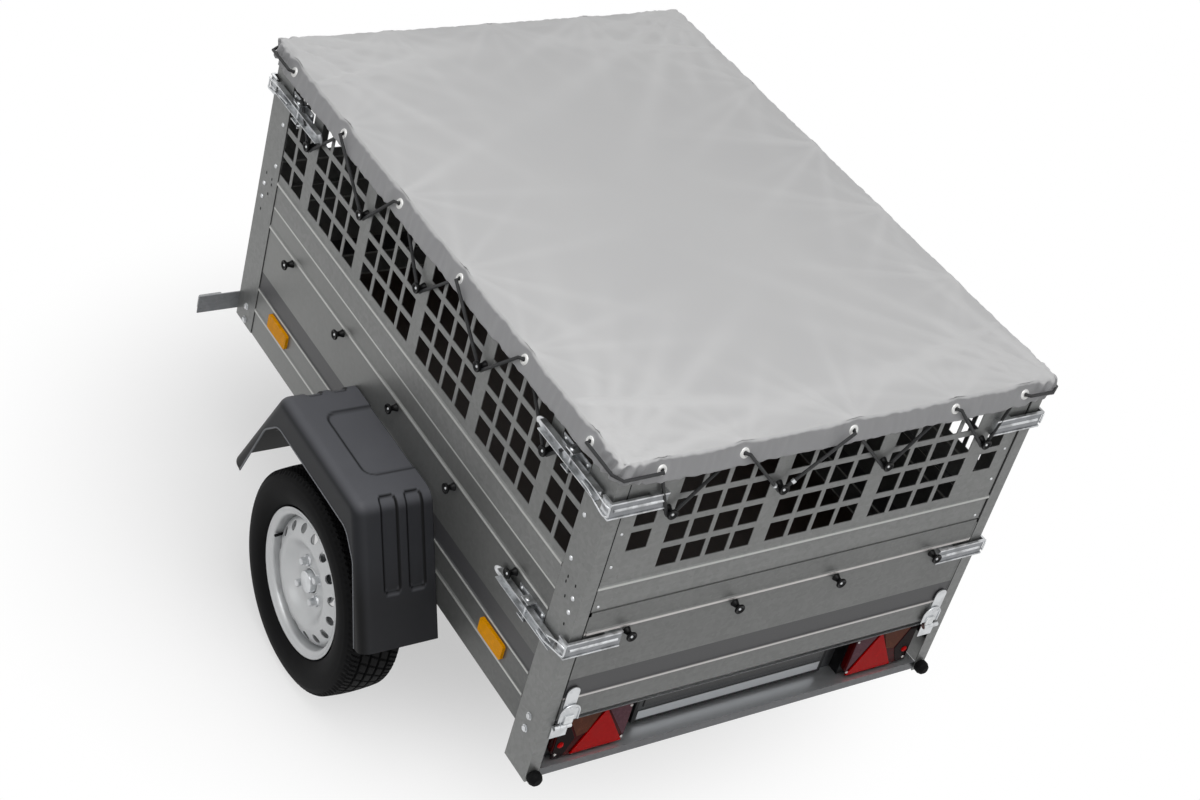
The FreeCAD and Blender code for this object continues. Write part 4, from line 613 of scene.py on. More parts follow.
# Eyelets of the cover
# White-lacquered brass eyelets, 24 mm across, pressed into the skirt, with a disc of painted shadow in the hole
# behind the cord.
# The cord pulls them down, so they lean out a little at the foot.
def merged(forms):
    """Several forms as one."""
    points, faces = [], []
    for some_points, some_faces in forms:
        start = len(points)
        points += [Vector(point) for point in some_points]
        faces += [tuple(start + corner for corner in face) for face in some_faces]
    return points, faces


def placed(form, at, along, up, out):
    """A form drawn in x, y, z, put at a place with those directions."""
    points = [at + along * point[0] + up * point[1] + out * point[2] for point in form[0]]
    return points, flipped(form[1]) if along.cross(up).dot(out) < 0 else form[1]


def lathe(profile, sides=24):
    """A form turned about z from radii and heights; an end at radius nought is closed."""
    points, rings = [], []
    for radius, height in profile:
        start = len(points)
        if radius < 1e-7:
            rings.append([start] * sides)
            points.append(UP * height)
        else:
            rings.append(range(start, start + sides))
            points += [Vector((radius * a, radius * b, height)) for a, b in around(sides)]
    return points, skin(rings)


def sharpened(thing, degrees=32):
    """Keeps edges over an angle crisp on a smooth-shaded piece."""
    thing.data.set_sharp_from_angle(angle=math.radians(degrees))
    return thing


def one_colour(name, colour, finish):
    """A material of one colour, with the other inputs of its shader."""
    material, tree = fresh_material(name)
    shade(tree, {"Base Color": linear(colour), **finish})
    return material


ring_form = lathe([(0.0045, 0.0002), (0.0049, 0.0022), (0.0070, 0.0030), (0.0100, 0.0024), (0.0120, 0.0000)], 28)
hole_form = lathe([(0.0047, 0.0008), (0, 0.0008)], 20)
# Stoved white lacquer over brass: smooth and half glossy. The hollows behind holes and seams are painted near-black,
# as painted shadow.
lacquer = one_colour("white_lacquered_brass", "#e9e9e7", {"Roughness": 0.35, "Metallic": 0.1})
hole_shadow_paint = one_colour("shadow_in_holes", "#0b0b0c", {"Roughness": 0.9})
rings, holes = [], []
for spot, outward, leaning in eyelets:
    along = UP.cross(outward)
    for form, forms in ((ring_form, rings), (hole_form, holes)):
        forms.append(placed(form, spot, along, leaning.cross(along), leaning))
eyelet_rings = sharpened(piece("cover_eyelets", merged(rings), lacquer))
eyelet_holes = piece("eyelet_holes", merged(holes), hole_shadow_paint)


# Road wheels
# A 155/70 R13 tyre, black rubber with four round grooves and slanting sipes, on a pressed and silver-painted steel
# disc wheel with sixteen vent holes, four bolts and a pressed cap over the bearing.
WHEEL = Vector((-0.412, 0.655, 0.2735))
TYRE_RADIUS, TYRE_HALF, BEAD_HALF, BEAD_RADIUS = 0.2735, 0.0775, 0.0560, 0.1830
TREAD_HALF, TREAD_STEPS, CROWN, SHOULDER_RADIUS = 0.0600, 96, 0.0038, 0.2610
GROOVES, GROOVE_HALF, GROOVE_DEPTH = (-0.0375, -0.0125, 0.0125, 0.0375), 0.0036, 0.0060
PITCHES, PITCH_STEPS, SIPE_DEPTH, OUTER_RIB = 54, 8, 0.0035, 0.0412
WALL_RIBS, WALL_RIB_HALF, WALL_RIB_RISE = (0.2090, 0.2475), 0.0016, 0.0008
VENT_COUNT, VENT_RADIUS, VENT_CIRCLE, VENT_STEPS = 16, 0.0118, 0.1350, 24
BAND_IN, BAND_OUT, CREST, BAND_FOOT, DISC_WALL = 0.1195, 0.1505, 0.0548, 0.0405, 0.0035
BOLT_COUNT, BOLT_CIRCLE, BOLT_SEAT, BOSS_RISE = 4, 0.049, 0.0306, 0.0046


def spline_points(marks, count):
    """Even points along a smooth line through marks."""
    made = []
    for number in range(len(marks) - 1):
        a, b = marks[max(number - 1, 0)], marks[number]
        c, e = marks[number + 1], marks[min(number + 2, len(marks) - 1)]
        for step in range(count):
            t = step / count
            made.append(tuple(
                0.5 * (2 * q + (r - p) * t
                       + (2 * p - 5 * q + 4 * r - s) * t ** 2 + (3 * q - p - 3 * r + s) * t ** 3)
                for p, q, r, s in zip(a, b, c, e)))
    return made + [tuple(marks[-1])]


def tyre_form():
    """The tyre about z: side walls with rim bead and bulge, and a tread cut by grooves and sipes."""
    wall = []
    for radius, across in spline_points([
            (BEAD_RADIUS - 0.004, BEAD_HALF - 0.006), (BEAD_RADIUS, BEAD_HALF), (0.1905, 0.0650), (0.2060, 0.0738),
            (0.2260, TYRE_HALF), (0.2450, 0.0752), (0.2595, 0.0690), (0.2680, 0.0632)], 4):
        on_rib = min(abs(radius - rib) for rib in WALL_RIBS) < WALL_RIB_HALF
        wall.append((radius, across + (WALL_RIB_RISE if on_rib else 0)))
    tread = []
    for step in range(TREAD_STEPS + 1):
        across = TREAD_HALF * (1 - 2 * step / TREAD_STEPS)
        in_groove = min(abs(across - groove) for groove in GROOVES) < GROOVE_HALF
        crown = CROWN * (across / TREAD_HALF) ** 2
        tread.append((TYRE_RADIUS - crown - (GROOVE_DEPTH if in_groove else 0), across))
    profile = wall + tread + [(radius, -across) for radius, across in wall[::-1]]
    points = []
    for turn, (a, b) in enumerate(around(PITCHES * PITCH_STEPS)):
        for number, (radius, across) in enumerate(profile):
            if 0 <= number - len(wall) <= TREAD_STEPS:
                slant = (turn + round(across / 0.0125 * 2)) % PITCH_STEPS
                cut = slant == 0 or slant == PITCH_STEPS // 2 and abs(across) > OUTER_RIB
                if cut and radius > TYRE_RADIUS - 0.0050:
                    radius -= SIPE_DEPTH
            elif radius > SHOULDER_RADIUS and turn % PITCH_STEPS in (0, 4, 5):
                radius, across = radius - 0.0022, across - math.copysign(0.0012, across)
            points.append(Vector((radius * a, radius * b, across)))
    return points, flipped(skin(rows_of(points, len(profile)), closed=False, joined=True))


def rim_form():
    """The barrel with its flanges and drop centre, and both skins of the disc inside and outside its vented band."""
    flange = spline_points([
        (0.1650, 0.0560), (0.1760, 0.0580), (0.1815, 0.0600), (0.1824, 0.0622), (0.1800, 0.0633), (0.1765, 0.0622),
        (0.1735, 0.0600), (0.1680, 0.0585), (0.1635, 0.0560), (0.1612, 0.0500), (0.1600, 0.0400), (0.1590, 0.0300),
        (0.1560, 0.0240), (0.1480, 0.0180), (0.1400, 0.0120)], 2)
    barrel = flange + [
        (0.1380, 0.0), (0.1380, -0.0270), (0.1610, -0.0350), (0.1610, -0.0560), (0.1700, -0.0600), (0.1780, -0.0625),
        (0.1824, -0.0615), (0.1815, -0.0590), (0.1740, -0.0575), (0.1650, -0.0540), (0.1650, -0.0310),
        (0.1420, -0.0230), (0.1420, 0.0050), (0.1500, 0.0150), (0.1620, 0.0260), (0.1640, 0.0400), (0.1650, 0.0560)]
    bowl = spline_points([
        (BAND_IN, CREST), (0.1150, 0.0563), (0.1090, 0.0568), (0.1030, 0.0552), (0.0960, 0.0508), (0.0890, 0.0445),
        (0.0820, 0.0385), (0.0740, 0.0335), (0.0660, 0.0312), (0.0560, 0.0306), (0.0360, 0.0306), (0.0335, 0.0322),
        (0.0300, 0.0336), (0.0290, 0.0290)], 2)
    edge = spline_points([(0.1592, 0.0230), (0.1588, 0.0290), (0.1565, 0.0340), (BAND_OUT, BAND_FOOT)], 2)
    back = [(radius, height - DISC_WALL) for radius, height in bowl]
    edge_back = [(radius - DISC_WALL, height - DISC_WALL) for radius, height in edge[:-1]]
    edge_back.append((BAND_OUT, BAND_FOOT - DISC_WALL))
    return [[lathe(line, 128) for line in skins] for skins in ((barrel,), (bowl, edge), (back, edge_back))]


def band_height(radius):
    """The height of the disc's sloping band, where the vents are."""
    share = max((radius - BAND_IN) / (BAND_OUT - BAND_IN), 0)
    return CREST + (BAND_FOOT - CREST) * share ** 1.4


def vented_band(sunk=0, layers=4):
    """The sloping band of the disc with a ring of round holes, each with its wall, or its plain back."""
    points, faces = [], []
    sector, band_middle, band_half = math.tau / VENT_COUNT, (BAND_IN + BAND_OUT) / 2, (BAND_OUT - BAND_IN) / 2
    for vent in range(VENT_COUNT):
        for layer, share in enumerate((0, 0.55, 1, 1)[:layers]):
            for a, b in around(VENT_STEPS):
                largest = max(abs(a), abs(b))
                square_r, square_t = band_middle + a / largest * band_half, b / largest * sector / 2
                hole_r, hole_t = VENT_CIRCLE + a * VENT_RADIUS, b * VENT_RADIUS / VENT_CIRCLE
                radius = square_r + (hole_r - square_r) * share
                turn = sector * vent + square_t + (hole_t - square_t) * share
                height = band_height(radius) - (DISC_WALL if layer == 3 else 0) - sunk
                points.append(Vector((radius * math.cos(turn), radius * math.sin(turn), height)))
        faces += skin(rows_of(points, VENT_STEPS)[-layers:])
    return points, faces


def facing(form, out):
    """A form with its faces turned over where most of them look away from a direction."""
    total = 0
    for face in form[1]:
        a, b, c = (Vector(form[0][corner]) for corner in face[:3])
        total += (b - a).cross(c - a).dot(out)
    return form if total > 0 else (form[0], flipped(form[1]))


def hexagon_bolt(across_flats, height):
    """A bolt head with a washer face, about z."""
    radius = across_flats / math.sqrt(3)
    head = lathe([(radius, 0), (radius, height * 0.8), (radius * 0.86, height), (0, height)], 6)
    collar = lathe([(radius * 1.22, -0.0006), (radius * 1.22, 0.0012), (0, 0.0012)], 20)
    return merged([head, collar])


def two_toned(name, dark, pale, per_metre, detail, finish, relief=None, drawn=None):
    """A material of two colours mixed by a noise with so many clouds in a metre, drawn out by axis where told. The
    relief is a finer noise: clouds in a metre, detail, strength and depth."""
    material, tree = fresh_material(name)
    where = add(tree, "TexCoord").outputs["Object"]
    if drawn:
        where = add(tree, "Mapping", {"Vector": where, "Scale": drawn}).outputs[0]
    cloud = add(tree, "TexNoise", {"Vector": where, "Scale": per_metre, "Detail": detail}).outputs["Fac"]
    shown = add(tree, "Mix", {0: cloud, 6: linear(dark), 7: linear(pale)}, data_type="RGBA").outputs[2]
    inputs = {"Base Color": shown, **finish}
    if relief:
        fine = add(tree, "TexNoise", {"Vector": where, "Scale": relief[0], "Detail": relief[1]}).outputs["Fac"]
        bump = add(tree, "Bump", {"Height": fine, "Strength": relief[2], "Distance": relief[3]})
        inputs["Normal"] = bump.outputs[0]
    shade(tree, inputs)
    return material


# Moulded rubber: matt, with a fine grain and a dry grey bloom.
rubber = two_toned("moulded_tyre_rubber", "#0a0a0b", "#141415", 30.0, 5.0,
                   {"Roughness": 0.66, "Specular IOR Level": 0.08}, relief=(700.0, 2.0, 0.25, 0.0005))
# Aluminium-flake lacquer over pressed steel, a little orange-peeled.
silver = two_toned("silver_painted_steel", "#b9bbbc", "#c9cacb", 12.0, 3.0,
                   {"Metallic": 0.55, "Roughness": 0.38}, relief=(260.0, 2.0, 0.08, 0.0004))
tyre_shape = tyre_form()
barrel, fronts, backs = rim_form()
fronts = [facing(form, UP) for form in (*fronts, vented_band())]
backs = [facing(form, -UP) for form in (*backs, vented_band(DISC_WALL, 3))]
pressed = merged([*barrel, *fronts, *backs])
boss = lathe([(0.0150, 0), (0.0128, 0.0042), (0.0105, BOSS_RISE), (0, BOSS_RISE)], 24)
cap = lathe([(0.0275, 0.010), (0.0275, 0.044), (0.0262, 0.0480), (0.0180, 0.0500), (0, 0.0505)], 36)
bolt_forms = []
for a, b in around(BOLT_COUNT * 2)[1::2]:
    seat = Vector((BOLT_CIRCLE * a, BOLT_CIRCLE * b, BOLT_SEAT))
    bolt_forms.append(placed(boss, seat, AHEAD, LEFT, UP))
    bolt_forms.append(placed(hexagon_bolt(0.017, 0.015), seat + UP * BOSS_RISE, AHEAD, LEFT, UP))
bolt_forms = merged([*bolt_forms, cap])
valve_line = ((0.1575, 0.012, 0.028), (0.1562, 0.0125, 0.044), (0.1545, 0.013, 0.058))
valve = tube([Vector(place) for place in valve_line], 0.0035)
for side, word in ((1, "left"), (-1, "right")):
    hung = (Vector((WHEEL.x, WHEEL.y * side, WHEEL.z)), AHEAD, UP, LEFT * side)
    body = "wheel_" + word
    tyre = sharpened(piece("road_tyre_" + word, placed(tyre_shape, *hung), rubber, body), 40)
    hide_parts("tyre_" + word)
    face = sharpened(piece("wheel_face_" + word, placed(pressed, *hung), silver, body), 50)
    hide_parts("rim_" + word)
    sharpened(piece("wheel_bolts_" + word, placed(bolt_forms, *hung), bright_zinc, body))
    piece("valve_stem_" + word, placed(valve, *hung), rubber, body)


# Mudguards
# Black polypropylene, vacuum formed: a trapezoid arch with widely rolled outer edges and a deep skirt, a shallow
# step in the top that is open towards the body, and two long channels with round ends down each sloping end.
GUARD_X, GUARD_TOP, GUARD_FOOT_LOW = -0.421, 0.698, 0.392
GUARD_IN, GUARD_OUT, GUARD_WALL, GUARD_BEND, GUARD_ROLL = 0.563, 0.753, 0.0035, 0.040, 0.026
ACROSS, ROLL_STEPS, SKIRT_STEPS = 82, 8, 8
RECESS_HALF, RECESS_IN, RECESS_ROUND = 0.082, 0.091, 0.028
RECESS_SIDE, RECESS_DEPTH, RECESS_FROM = 0.009, 0.0036, 0.40
CHANNELS, CHANNEL_HALF, CHANNEL_MIDDLE, CHANNEL_REACH = (0.045, 0.108), 0.0085, 0.243, 0.102
CHANNEL_ROUND, CHANNEL_SIDE, CHANNEL_DEPTH = 0.011, 0.0045, 0.0045
PROBE, STEEPEST, LIP_RADIUS = 0.002, 0.0026, 0.0022


def rounded_line(marks, radii, step=0.006):
    """A line through marks whose corners are arcs, cut into short pieces."""
    line = [Vector(marks[0])]
    for number, radius in enumerate(radii, 1):
        before, at, after = (Vector(marks[number + k]) for k in (-1, 0, 1))
        to_before, to_after = (before - at).normalized(), (after - at).normalized()
        half = to_before.angle(to_after) / 2
        reach = radius / math.tan(half)
        count = max(6, round((math.pi - 2 * half) * radius / step))
        centre = at + (to_before + to_after).normalized() * radius / math.sin(half)
        first, last = at + to_before * reach - centre, at + to_after * reach - centre
        line += [centre + first.slerp(last, k / count).normalized() * radius for k in range(count + 1)]
    line.append(Vector(marks[-1]))
    fine = [line[0]]
    for a, b in zip(line, line[1:]):
        pieces = max(1, round((b - a).length / step))
        fine += [a + (b - a) * k / pieces for k in range(1, pieces + 1)]
    return fine


guard_line = rounded_line(
    [(GUARD_X - 0.352, GUARD_FOOT_LOW), (GUARD_X - 0.197, GUARD_TOP), (GUARD_X + 0.197, GUARD_TOP),
     (GUARD_X + 0.352, GUARD_FOOT_LOW)], [GUARD_BEND] * 2)
guard_arch = rounded_line(
    [(GUARD_X - 0.312, 0.378), (GUARD_X - 0.233, 0.568), (GUARD_X - 0.178, 0.620), (GUARD_X + 0.178, 0.620),
     (GUARD_X + 0.233, 0.568), (GUARD_X + 0.312, 0.378)], [0.05] * 4)
guard_lengths, arch_lengths = lengths_along(guard_line), lengths_along(guard_arch)


def at_length(line, lengths, sought):
    """The point at a length along a line."""
    place = next((k for k, far in enumerate(lengths) if far >= sought - 1e-9), len(line) - 1)
    if not place:
        return line[0]
    share = (sought - lengths[place - 1]) / (lengths[place] - lengths[place - 1])
    return line[place - 1].lerp(line[place], share)


def soft_edge(distance, width):
    """Nought outside an edge and one inside it, smoothly."""
    share = max(0, min(1, distance / width + 0.5))
    return share * share * (3 - 2 * share)


def guard_sink(along, across, from_foot):
    """How deep the recess in the top or a channel down an end lies at a place on the guard's outside."""
    recess = Vector((max(abs(along) - RECESS_HALF, 0), max(across - RECESS_IN, 0)))
    deep = RECESS_DEPTH * soft_edge(RECESS_ROUND - recess.length, RECESS_SIDE) if from_foot > RECESS_FROM else 0
    down = max(abs(from_foot - CHANNEL_MIDDLE) - CHANNEL_REACH, 0)
    for channel in CHANNELS:
        beside = Vector((max(abs(across - channel) - CHANNEL_HALF, 0), down))
        deep = max(deep, CHANNEL_DEPTH * soft_edge(CHANNEL_ROUND - beside.length, CHANNEL_SIDE))
    return deep


def guard_skin(shrink):
    """The points of the guard's outer skin, or of the one so far inside it, in rows from the body side over the top
    and down the skirt, and the share of painted shade that the edge of a groove gives each."""
    points, painted_shades = [], []
    for index, (spot, length) in enumerate(zip(guard_line, guard_lengths)):
        before, after = guard_line[max(index - 1, 0)], guard_line[min(index + 1, len(guard_line) - 1)]
        direction = (after - before).normalized()
        out = Vector((-direction.y, direction.x))
        low = at_length(guard_arch, arch_lengths, length / guard_lengths[-1] * arch_lengths[-1])
        from_foot = min(length, guard_lengths[-1] - length)
        run, row = spot.x - GUARD_X, []
        for step in range(ACROSS + 1):
            across = (GUARD_OUT - GUARD_ROLL - GUARD_IN) * step / ACROSS
            beside = [guard_sink(run, across + shift, from_foot) for shift in (-PROBE, PROBE)]
            ahead = [guard_sink(run + shift, across, from_foot + shift) for shift in (-PROBE, PROBE)]
            steepness = max(abs(beside[1] - beside[0]), abs(ahead[1] - ahead[0])) / STEEPEST
            painted_shades.append(min(steepness, 1) if step else 1)
            row.append((spot - out * (guard_sink(run, across, from_foot) + shrink), GUARD_IN + across))
        for angle in (math.pi / 2 * step / ROLL_STEPS for step in range(1, ROLL_STEPS + 1)):
            drop = GUARD_ROLL * (1 - math.cos(angle)) + shrink * math.cos(angle)
            row.append((spot - out * drop, GUARD_OUT - GUARD_ROLL + (GUARD_ROLL - shrink) * math.sin(angle)))
        roll_end = spot - out * GUARD_ROLL
        for step in range(1, SKIRT_STEPS + 1):
            row.append((roll_end.lerp(low, step / SKIRT_STEPS), GUARD_OUT - shrink))
        painted_shades += [0] * (ROLL_STEPS + SKIRT_STEPS)
        points += [Vector((edge.x, aside, edge.y)) for edge, aside in row]
    return points, painted_shades


# Both skins are joined along the edge at the body, the lip of the arch and the feet.
outer, painted_groove_shades = guard_skin(0)
inner = guard_skin(GUARD_WALL)[0]
rows = rows_of(outer + inner, ACROSS + 1 + ROLL_STEPS + SKIRT_STEPS)
outside, inside = rows[:len(guard_line)], rows[len(guard_line):]
at_body, at_lip = ([[row[end] for row in half] for half in (outside, inside)] for end in (0, -1))
guard_faces = flipped(skin(outside, closed=False)) + skin(inside, closed=False)
guard_faces += quads(*at_body, closed=False) + flipped(quads(*at_lip, closed=False))
guard_faces += flipped(quads(outside[0], inside[0], closed=False)) + quads(outside[-1], inside[-1], closed=False)

# Fine leather-like grain of formed polypropylene sheet, 1.6 mm across: a satin charcoal painted lighter on faces
# that look up and higher up, as painted sheen, that sheen mottled in clouds of 125 mm, with painted shade along the
# edges of its grooves.
HIDE_GRAINS, SHEEN_CLOUDS = 620.0, 8.0
guard_plastic, tree = fresh_material("formed_black_polypropylene")
where = add(tree, "TexCoord").outputs["Object"]
grain = add(tree, "TexVoronoi", {"Vector": where, "Scale": HIDE_GRAINS}).outputs["Distance"]
cloud = add(tree, "TexNoise", {"Vector": where, "Scale": SHEEN_CLOUDS, "Detail": 3.0}).outputs["Fac"]
skyward = add(tree, "SeparateXYZ", {0: add(tree, "NewGeometry").outputs["Normal"]}).outputs["Z"]
height = add(tree, "SeparateXYZ", {0: where}).outputs["Z"]
# Painted sheen: faces that look up, and the guard higher up, are painted lighter.
painted_top_sheen, upper = (add(tree, "MapRange", {"Value": value, "From Min": low, "From Max": high},
                     interpolation_type="SMOOTHSTEP").outputs[0]
                 for value, low, high in ((skyward, 0.25, 0.95), (height, 0.47, 0.60)))
sheen_by_height = add(tree, "Mix", {0: upper, 6: linear("#161617"), 7: linear("#26272a")}, data_type="RGBA").outputs[2]
top_sheen_tones = add(tree, "Mix", {0: cloud, 6: linear("#58595d"), 7: linear("#64656a")}, data_type="RGBA").outputs[2]
shown = add(tree, "Mix", {0: painted_top_sheen, 6: sheen_by_height, 7: top_sheen_tones}, data_type="RGBA").outputs[2]
# Painted shade: the steep edges of the recess and the channels are painted near-black.
groove = add(tree, "Attribute", attribute_name="groove").outputs["Fac"]
shown = add(tree, "Mix", {0: groove, 6: shown, 7: linear("#070708")}, data_type="RGBA").outputs[2]
relief = add(tree, "Bump", {"Height": grain, "Strength": 0.22, "Distance": 0.0005}).outputs[0]
shade(tree, {"Base Color": shown, "Roughness": 0.46, "Specular IOR Level": 0.12, "Normal": relief})
# A tube of paler, rougher plastic along the lip of the arch, where the sheet ends.
cut_edge = one_colour("cut_edge_of_polypropylene", "#77797d", {"Roughness": 0.5, "Specular IOR Level": 0.2})
lip_form = tube([Vector((spot.x, GUARD_OUT - 0.0008, spot.y)) for spot in guard_arch], LIP_RADIUS, 8)
for side, word in ((1, "left"), (-1, "right")):
    mirror = (Vector((0, 0, 0)), AHEAD, LEFT * side, UP)
    guard_form = placed((outer + inner, guard_faces), *mirror)
    guard = sharpened(piece("wheel_guard_" + word, guard_form, guard_plastic), 40)
    painted_shades = guard.data.attributes.new("groove", "FLOAT", "POINT")
    painted_shades.data.foreach_set("value", painted_groove_shades + [0] * len(inner))
    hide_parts("mudguard_" + word)
    sharpened(piece("guard_lip_" + word, placed(lip_form, *mirror), cut_edge))


# Corner latches
# Over-centre toggle latches of zinc-plated steel at the corners: the channel lever and its foot plate are riveted
# to the side, and a wire bail runs from the lever to the turned edge of the strap round the corner.
LEVER_NEAR, LEVER_FAR, LEVER_HALF = 0.031, 0.258, 0.0125
RIVET_APART, RIVET_RISE, PIN_OUT, PIN_RISE = 0.043, 0.016, 0.574, 0.0250
GRIP_REACH, GRIP_STEPS, GRIP_FACES, GRIP_SLOPE = 0.020, 12, (0.5680, 0.5705), 0.25
BAIL_RADIUS, BAIL_HALF, HOOK_HALF = 0.0022, 0.009, 0.013


def dome_head(radius, height):
    """A round rivet or screw head about z."""
    return lathe([(radius * math.cos(a), height * math.sin(a)) for a in
                  [math.pi / 2 * k / 5 for k in range(6)]], 16)


def walled(low, high):
    """A form between a lower and an upper outline with the same number of corners, which run anticlockwise."""
    rows = rows_of(low + high, len(low))
    return low + high, [tuple(rows[0])[::-1], tuple(rows[1]), *quads(*rows)]


pin_end = lathe([(0.0055, 0), (0.0055, 0.0020), (0.0035, 0.0034), (0, 0.0036)], 16)
half_turn = [math.pi * (turn / GRIP_STEPS - 0.5) for turn in range(GRIP_STEPS + 1)]
grip_outline = [(0.004 + GRIP_REACH * math.cos(angle), LEVER_HALF * math.sin(angle)) for angle in half_turn]
grip_form = walled(*(
    [Vector((LEVER_FAR - 0.006 + run, rise, out + GRIP_SLOPE * max(run - 0.004, 0))) for run, rise in grip_outline]
    for out in GRIP_FACES))
rivets, bails, grips = [], [], []
for sign, (corner, inward, lever_height, strap_height) in (
        (sign, latch) for sign in (1, -1)
        for latch in ((REAR, 1, 1.148, 1.139), (FRONT, -1, 1.148, 1.139), (REAR, 1, 0.740, 0.758))):
    at, along, outward = AHEAD * corner, AHEAD * inward, LEFT * sign
    lever_middle = at + along * (LEVER_NEAR + LEVER_FAR) / 2 + UP * lever_height
    for run in (-RIVET_APART, RIVET_APART):
        for rise in (-RIVET_RISE, RIVET_RISE):
            spot = lever_middle + along * run + outward * HALF + UP * rise
            rivets.append(placed(dome_head(0.0042, 0.0024), spot, along, UP, outward))
    for rise in (-1, 1):
        spot = lever_middle + outward * PIN_OUT + UP * rise * PIN_RISE
        rivets.append(placed(pin_end, spot, along, outward, UP * rise))
    grips.append(placed(grip_form, at + UP * lever_height, along, UP, outward))
    halves = []
    for way in (-1, 1):
        lever, hook = lever_height + way * BAIL_HALF, strap_height + way * HOOK_HALF
        halves.append([
            (0.092, 0.5755, lever), (0.060, 0.5775, lever), (0.034, 0.5782, (lever + way * 0.001 + hook) / 2),
            (0.004, 0.5782, hook), (-0.0060, 0.5768, hook - way * 0.001), (-0.0095, 0.5740, hook - way * 0.003)])
    wire = [(corner + inward * run, sign * out, height)
            for run, out, height in [*halves[0], (-0.0100, 0.5735, strap_height), *halves[1][::-1]]]
    bails.append(tube([Vector(place) for place in spline_points(wire, 4)], BAIL_RADIUS, 8))
sharpened(piece("latch_rivets", merged(rivets), bright_zinc))
sharpened(piece("latch_grips", merged(grips), latch_zinc))
piece("latch_bails", merged(bails), bright_zinc)


# Bolts and rivets of the posts and panels
# Zinc-plated dome-head bolts through the posts, and pop rivets where the end panels are fixed behind them. A few
# punched holes are left empty, drawn as discs of painted shadow.
DOMES = ((0.027, 0.873), (0.027, 0.835), (0.068, 1.064), (0.068, 0.948))
HEXAGONS = ((0.046, 0.513), (0.048, 0.474))
HOLES = ((0.060, 0.905), (0.030, 0.905), (0.062, 0.890), (0.052, 0.858), (0.030, 0.800))
END_RIVETS, END_RIVET_SIDE, END_RIVET_SUNK = (1.057, 0.968, 0.859), 0.512, 0.0022
post_hole = lathe([(0.0030, 0.0003), (0, 0.0003)], 14)
post_bolts, post_holes = [], []
for sign in (1, -1):
    outward = LEFT * sign
    for corner, inward in ((REAR, 1), (FRONT, -1)):
        for marks, form, forms, along, up in (
                (DOMES, dome_head(0.0058, 0.0036), post_bolts, AHEAD, UP),
                (HEXAGONS, hexagon_bolt(0.013, 0.0052), post_bolts, AHEAD, UP),
                (HOLES, post_hole, post_holes, AHEAD * 0.8, UP * 1.5)):
            forms += [placed(form, Vector((corner + inward * run, sign * HALF, height)), along, up, outward)
                      for run, height in marks]
    for height in END_RIVETS:
        for corner, away in ((REAR, -1), (FRONT, 1)):
            at = Vector((corner - away * END_RIVET_SUNK, sign * END_RIVET_SIDE, height))
            post_bolts.append(placed(dome_head(0.0036, 0.0024), at, LEFT, UP, AHEAD * away))
sharpened(piece("post_bolts", merged(post_bolts), bright_zinc))
piece("post_holes", merged(post_holes), hole_shadow_paint)


# Cover knobs
# Black polyamide knobs that the elastic hooks under: a flared foot, a narrow neck and a cupped head with the screw
# down its middle. They are moulded, smooth and half glossy.
LOWER_KNOB_HEIGHT = 0.769
nylon = two_toned("moulded_black_polyamide", "#070708", "#0e0e0f", 320.0, 2.0,
                  {"Roughness": 0.34, "Specular IOR Level": 0.15}, relief=(320.0, 2.0, 0.1, 0.0004))
knob_form = lathe(spline_points([
    (0.0098, 0.0), (0.0092, 0.0020), (0.0078, 0.0055), (0.0066, 0.0090), (0.0063, 0.0120), (0.0072, 0.0150),
    (0.0096, 0.0176), (0.0122, 0.0194), (0.0126, 0.0212), (0.0120, 0.0240),
    (0.0098, 0.0242), (0.0072, 0.0226), (0.0052, 0.0215), (0.0, 0.0212)], 2), 24)
screw_form = lathe([(0.0034, 0.0212), (0.0030, 0.0226), (0.0012, 0.0229), (0.0010, 0.0219), (0, 0.0219)], 14)
for name, node, height, edges, body in (
        ("cover_knobs", "upper_knobs", KNOB_HEIGHT, (0, 1, 2, 3), "chassis"),
        ("panel_knobs", "lower_knobs", LOWER_KNOB_HEIGHT, (1, 2, 3), "chassis"),
        ("gate_knobs", "tailgate_knobs", LOWER_KNOB_HEIGHT, (0,), "tailgate")):
    knobs, screws = [], []
    for edge in edges:
        along, outward, face, reach, inset, row = EDGES[edge]
        depth = reach if body == "tailgate" else face
        for at in (along * run + outward * depth + UP * height for kind, run in row if kind == "knob"):
            knobs.append(placed(knob_form, at, UP.cross(outward), UP, outward))
            screws.append(placed(screw_form, at, UP.cross(outward), UP, outward))
    heads = sharpened(piece(name, merged(knobs), nylon, body), 50)
    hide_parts(node)
    piece(name + "_screws", merged(screws), bright_zinc, body)


# Buffers and jockey wheel
# Moulded rubber buffers and jockey tyre, and a grey polypropylene hub with the faint clouds of its moulding.
hub_plastic = two_toned("moulded_grey_polypropylene", "#6d6f72", "#7c7e80", 90.0, 3.0, {"Roughness": 0.5})
dress(rubber, "rear_buffers", "jockey_tyre")
dress(hub_plastic, "jockey_rim")


# Rear lamps
# Two black trays with clear-coated acrylic lenses: a raised triangular reflector, a pinkish number plate window on
# the inside, an amber indicator window and a dark outer end with the small round rear light.
LENS_FACE, LENS_LOW, LENS_HIGH, LENS_INNER, LENS_OUTER = -1.1750, 0.391, 0.513, 0.311, 0.503
LENS_DEEP, LENS_ROLL, LENS_MARGIN, ROUND_LIGHT = 0.016, 0.004, 0.003, (0.484, 0.432)
TRIANGLE_BASE = (0.318, 0.452)
REARWARD = -AHEAD


def slab(outline, low, high):
    """A flat form with an outline in x and y, between two heights."""
    points, faces = walled(*([Vector((x, y, height)) for x, y in outline] for height in (low, high)))
    area = sum(a[0] * b[1] - b[0] * a[1] for a, b in zip(outline[-1:] + outline[:-1], outline))
    return points, faces if area > 0 else flipped(faces)


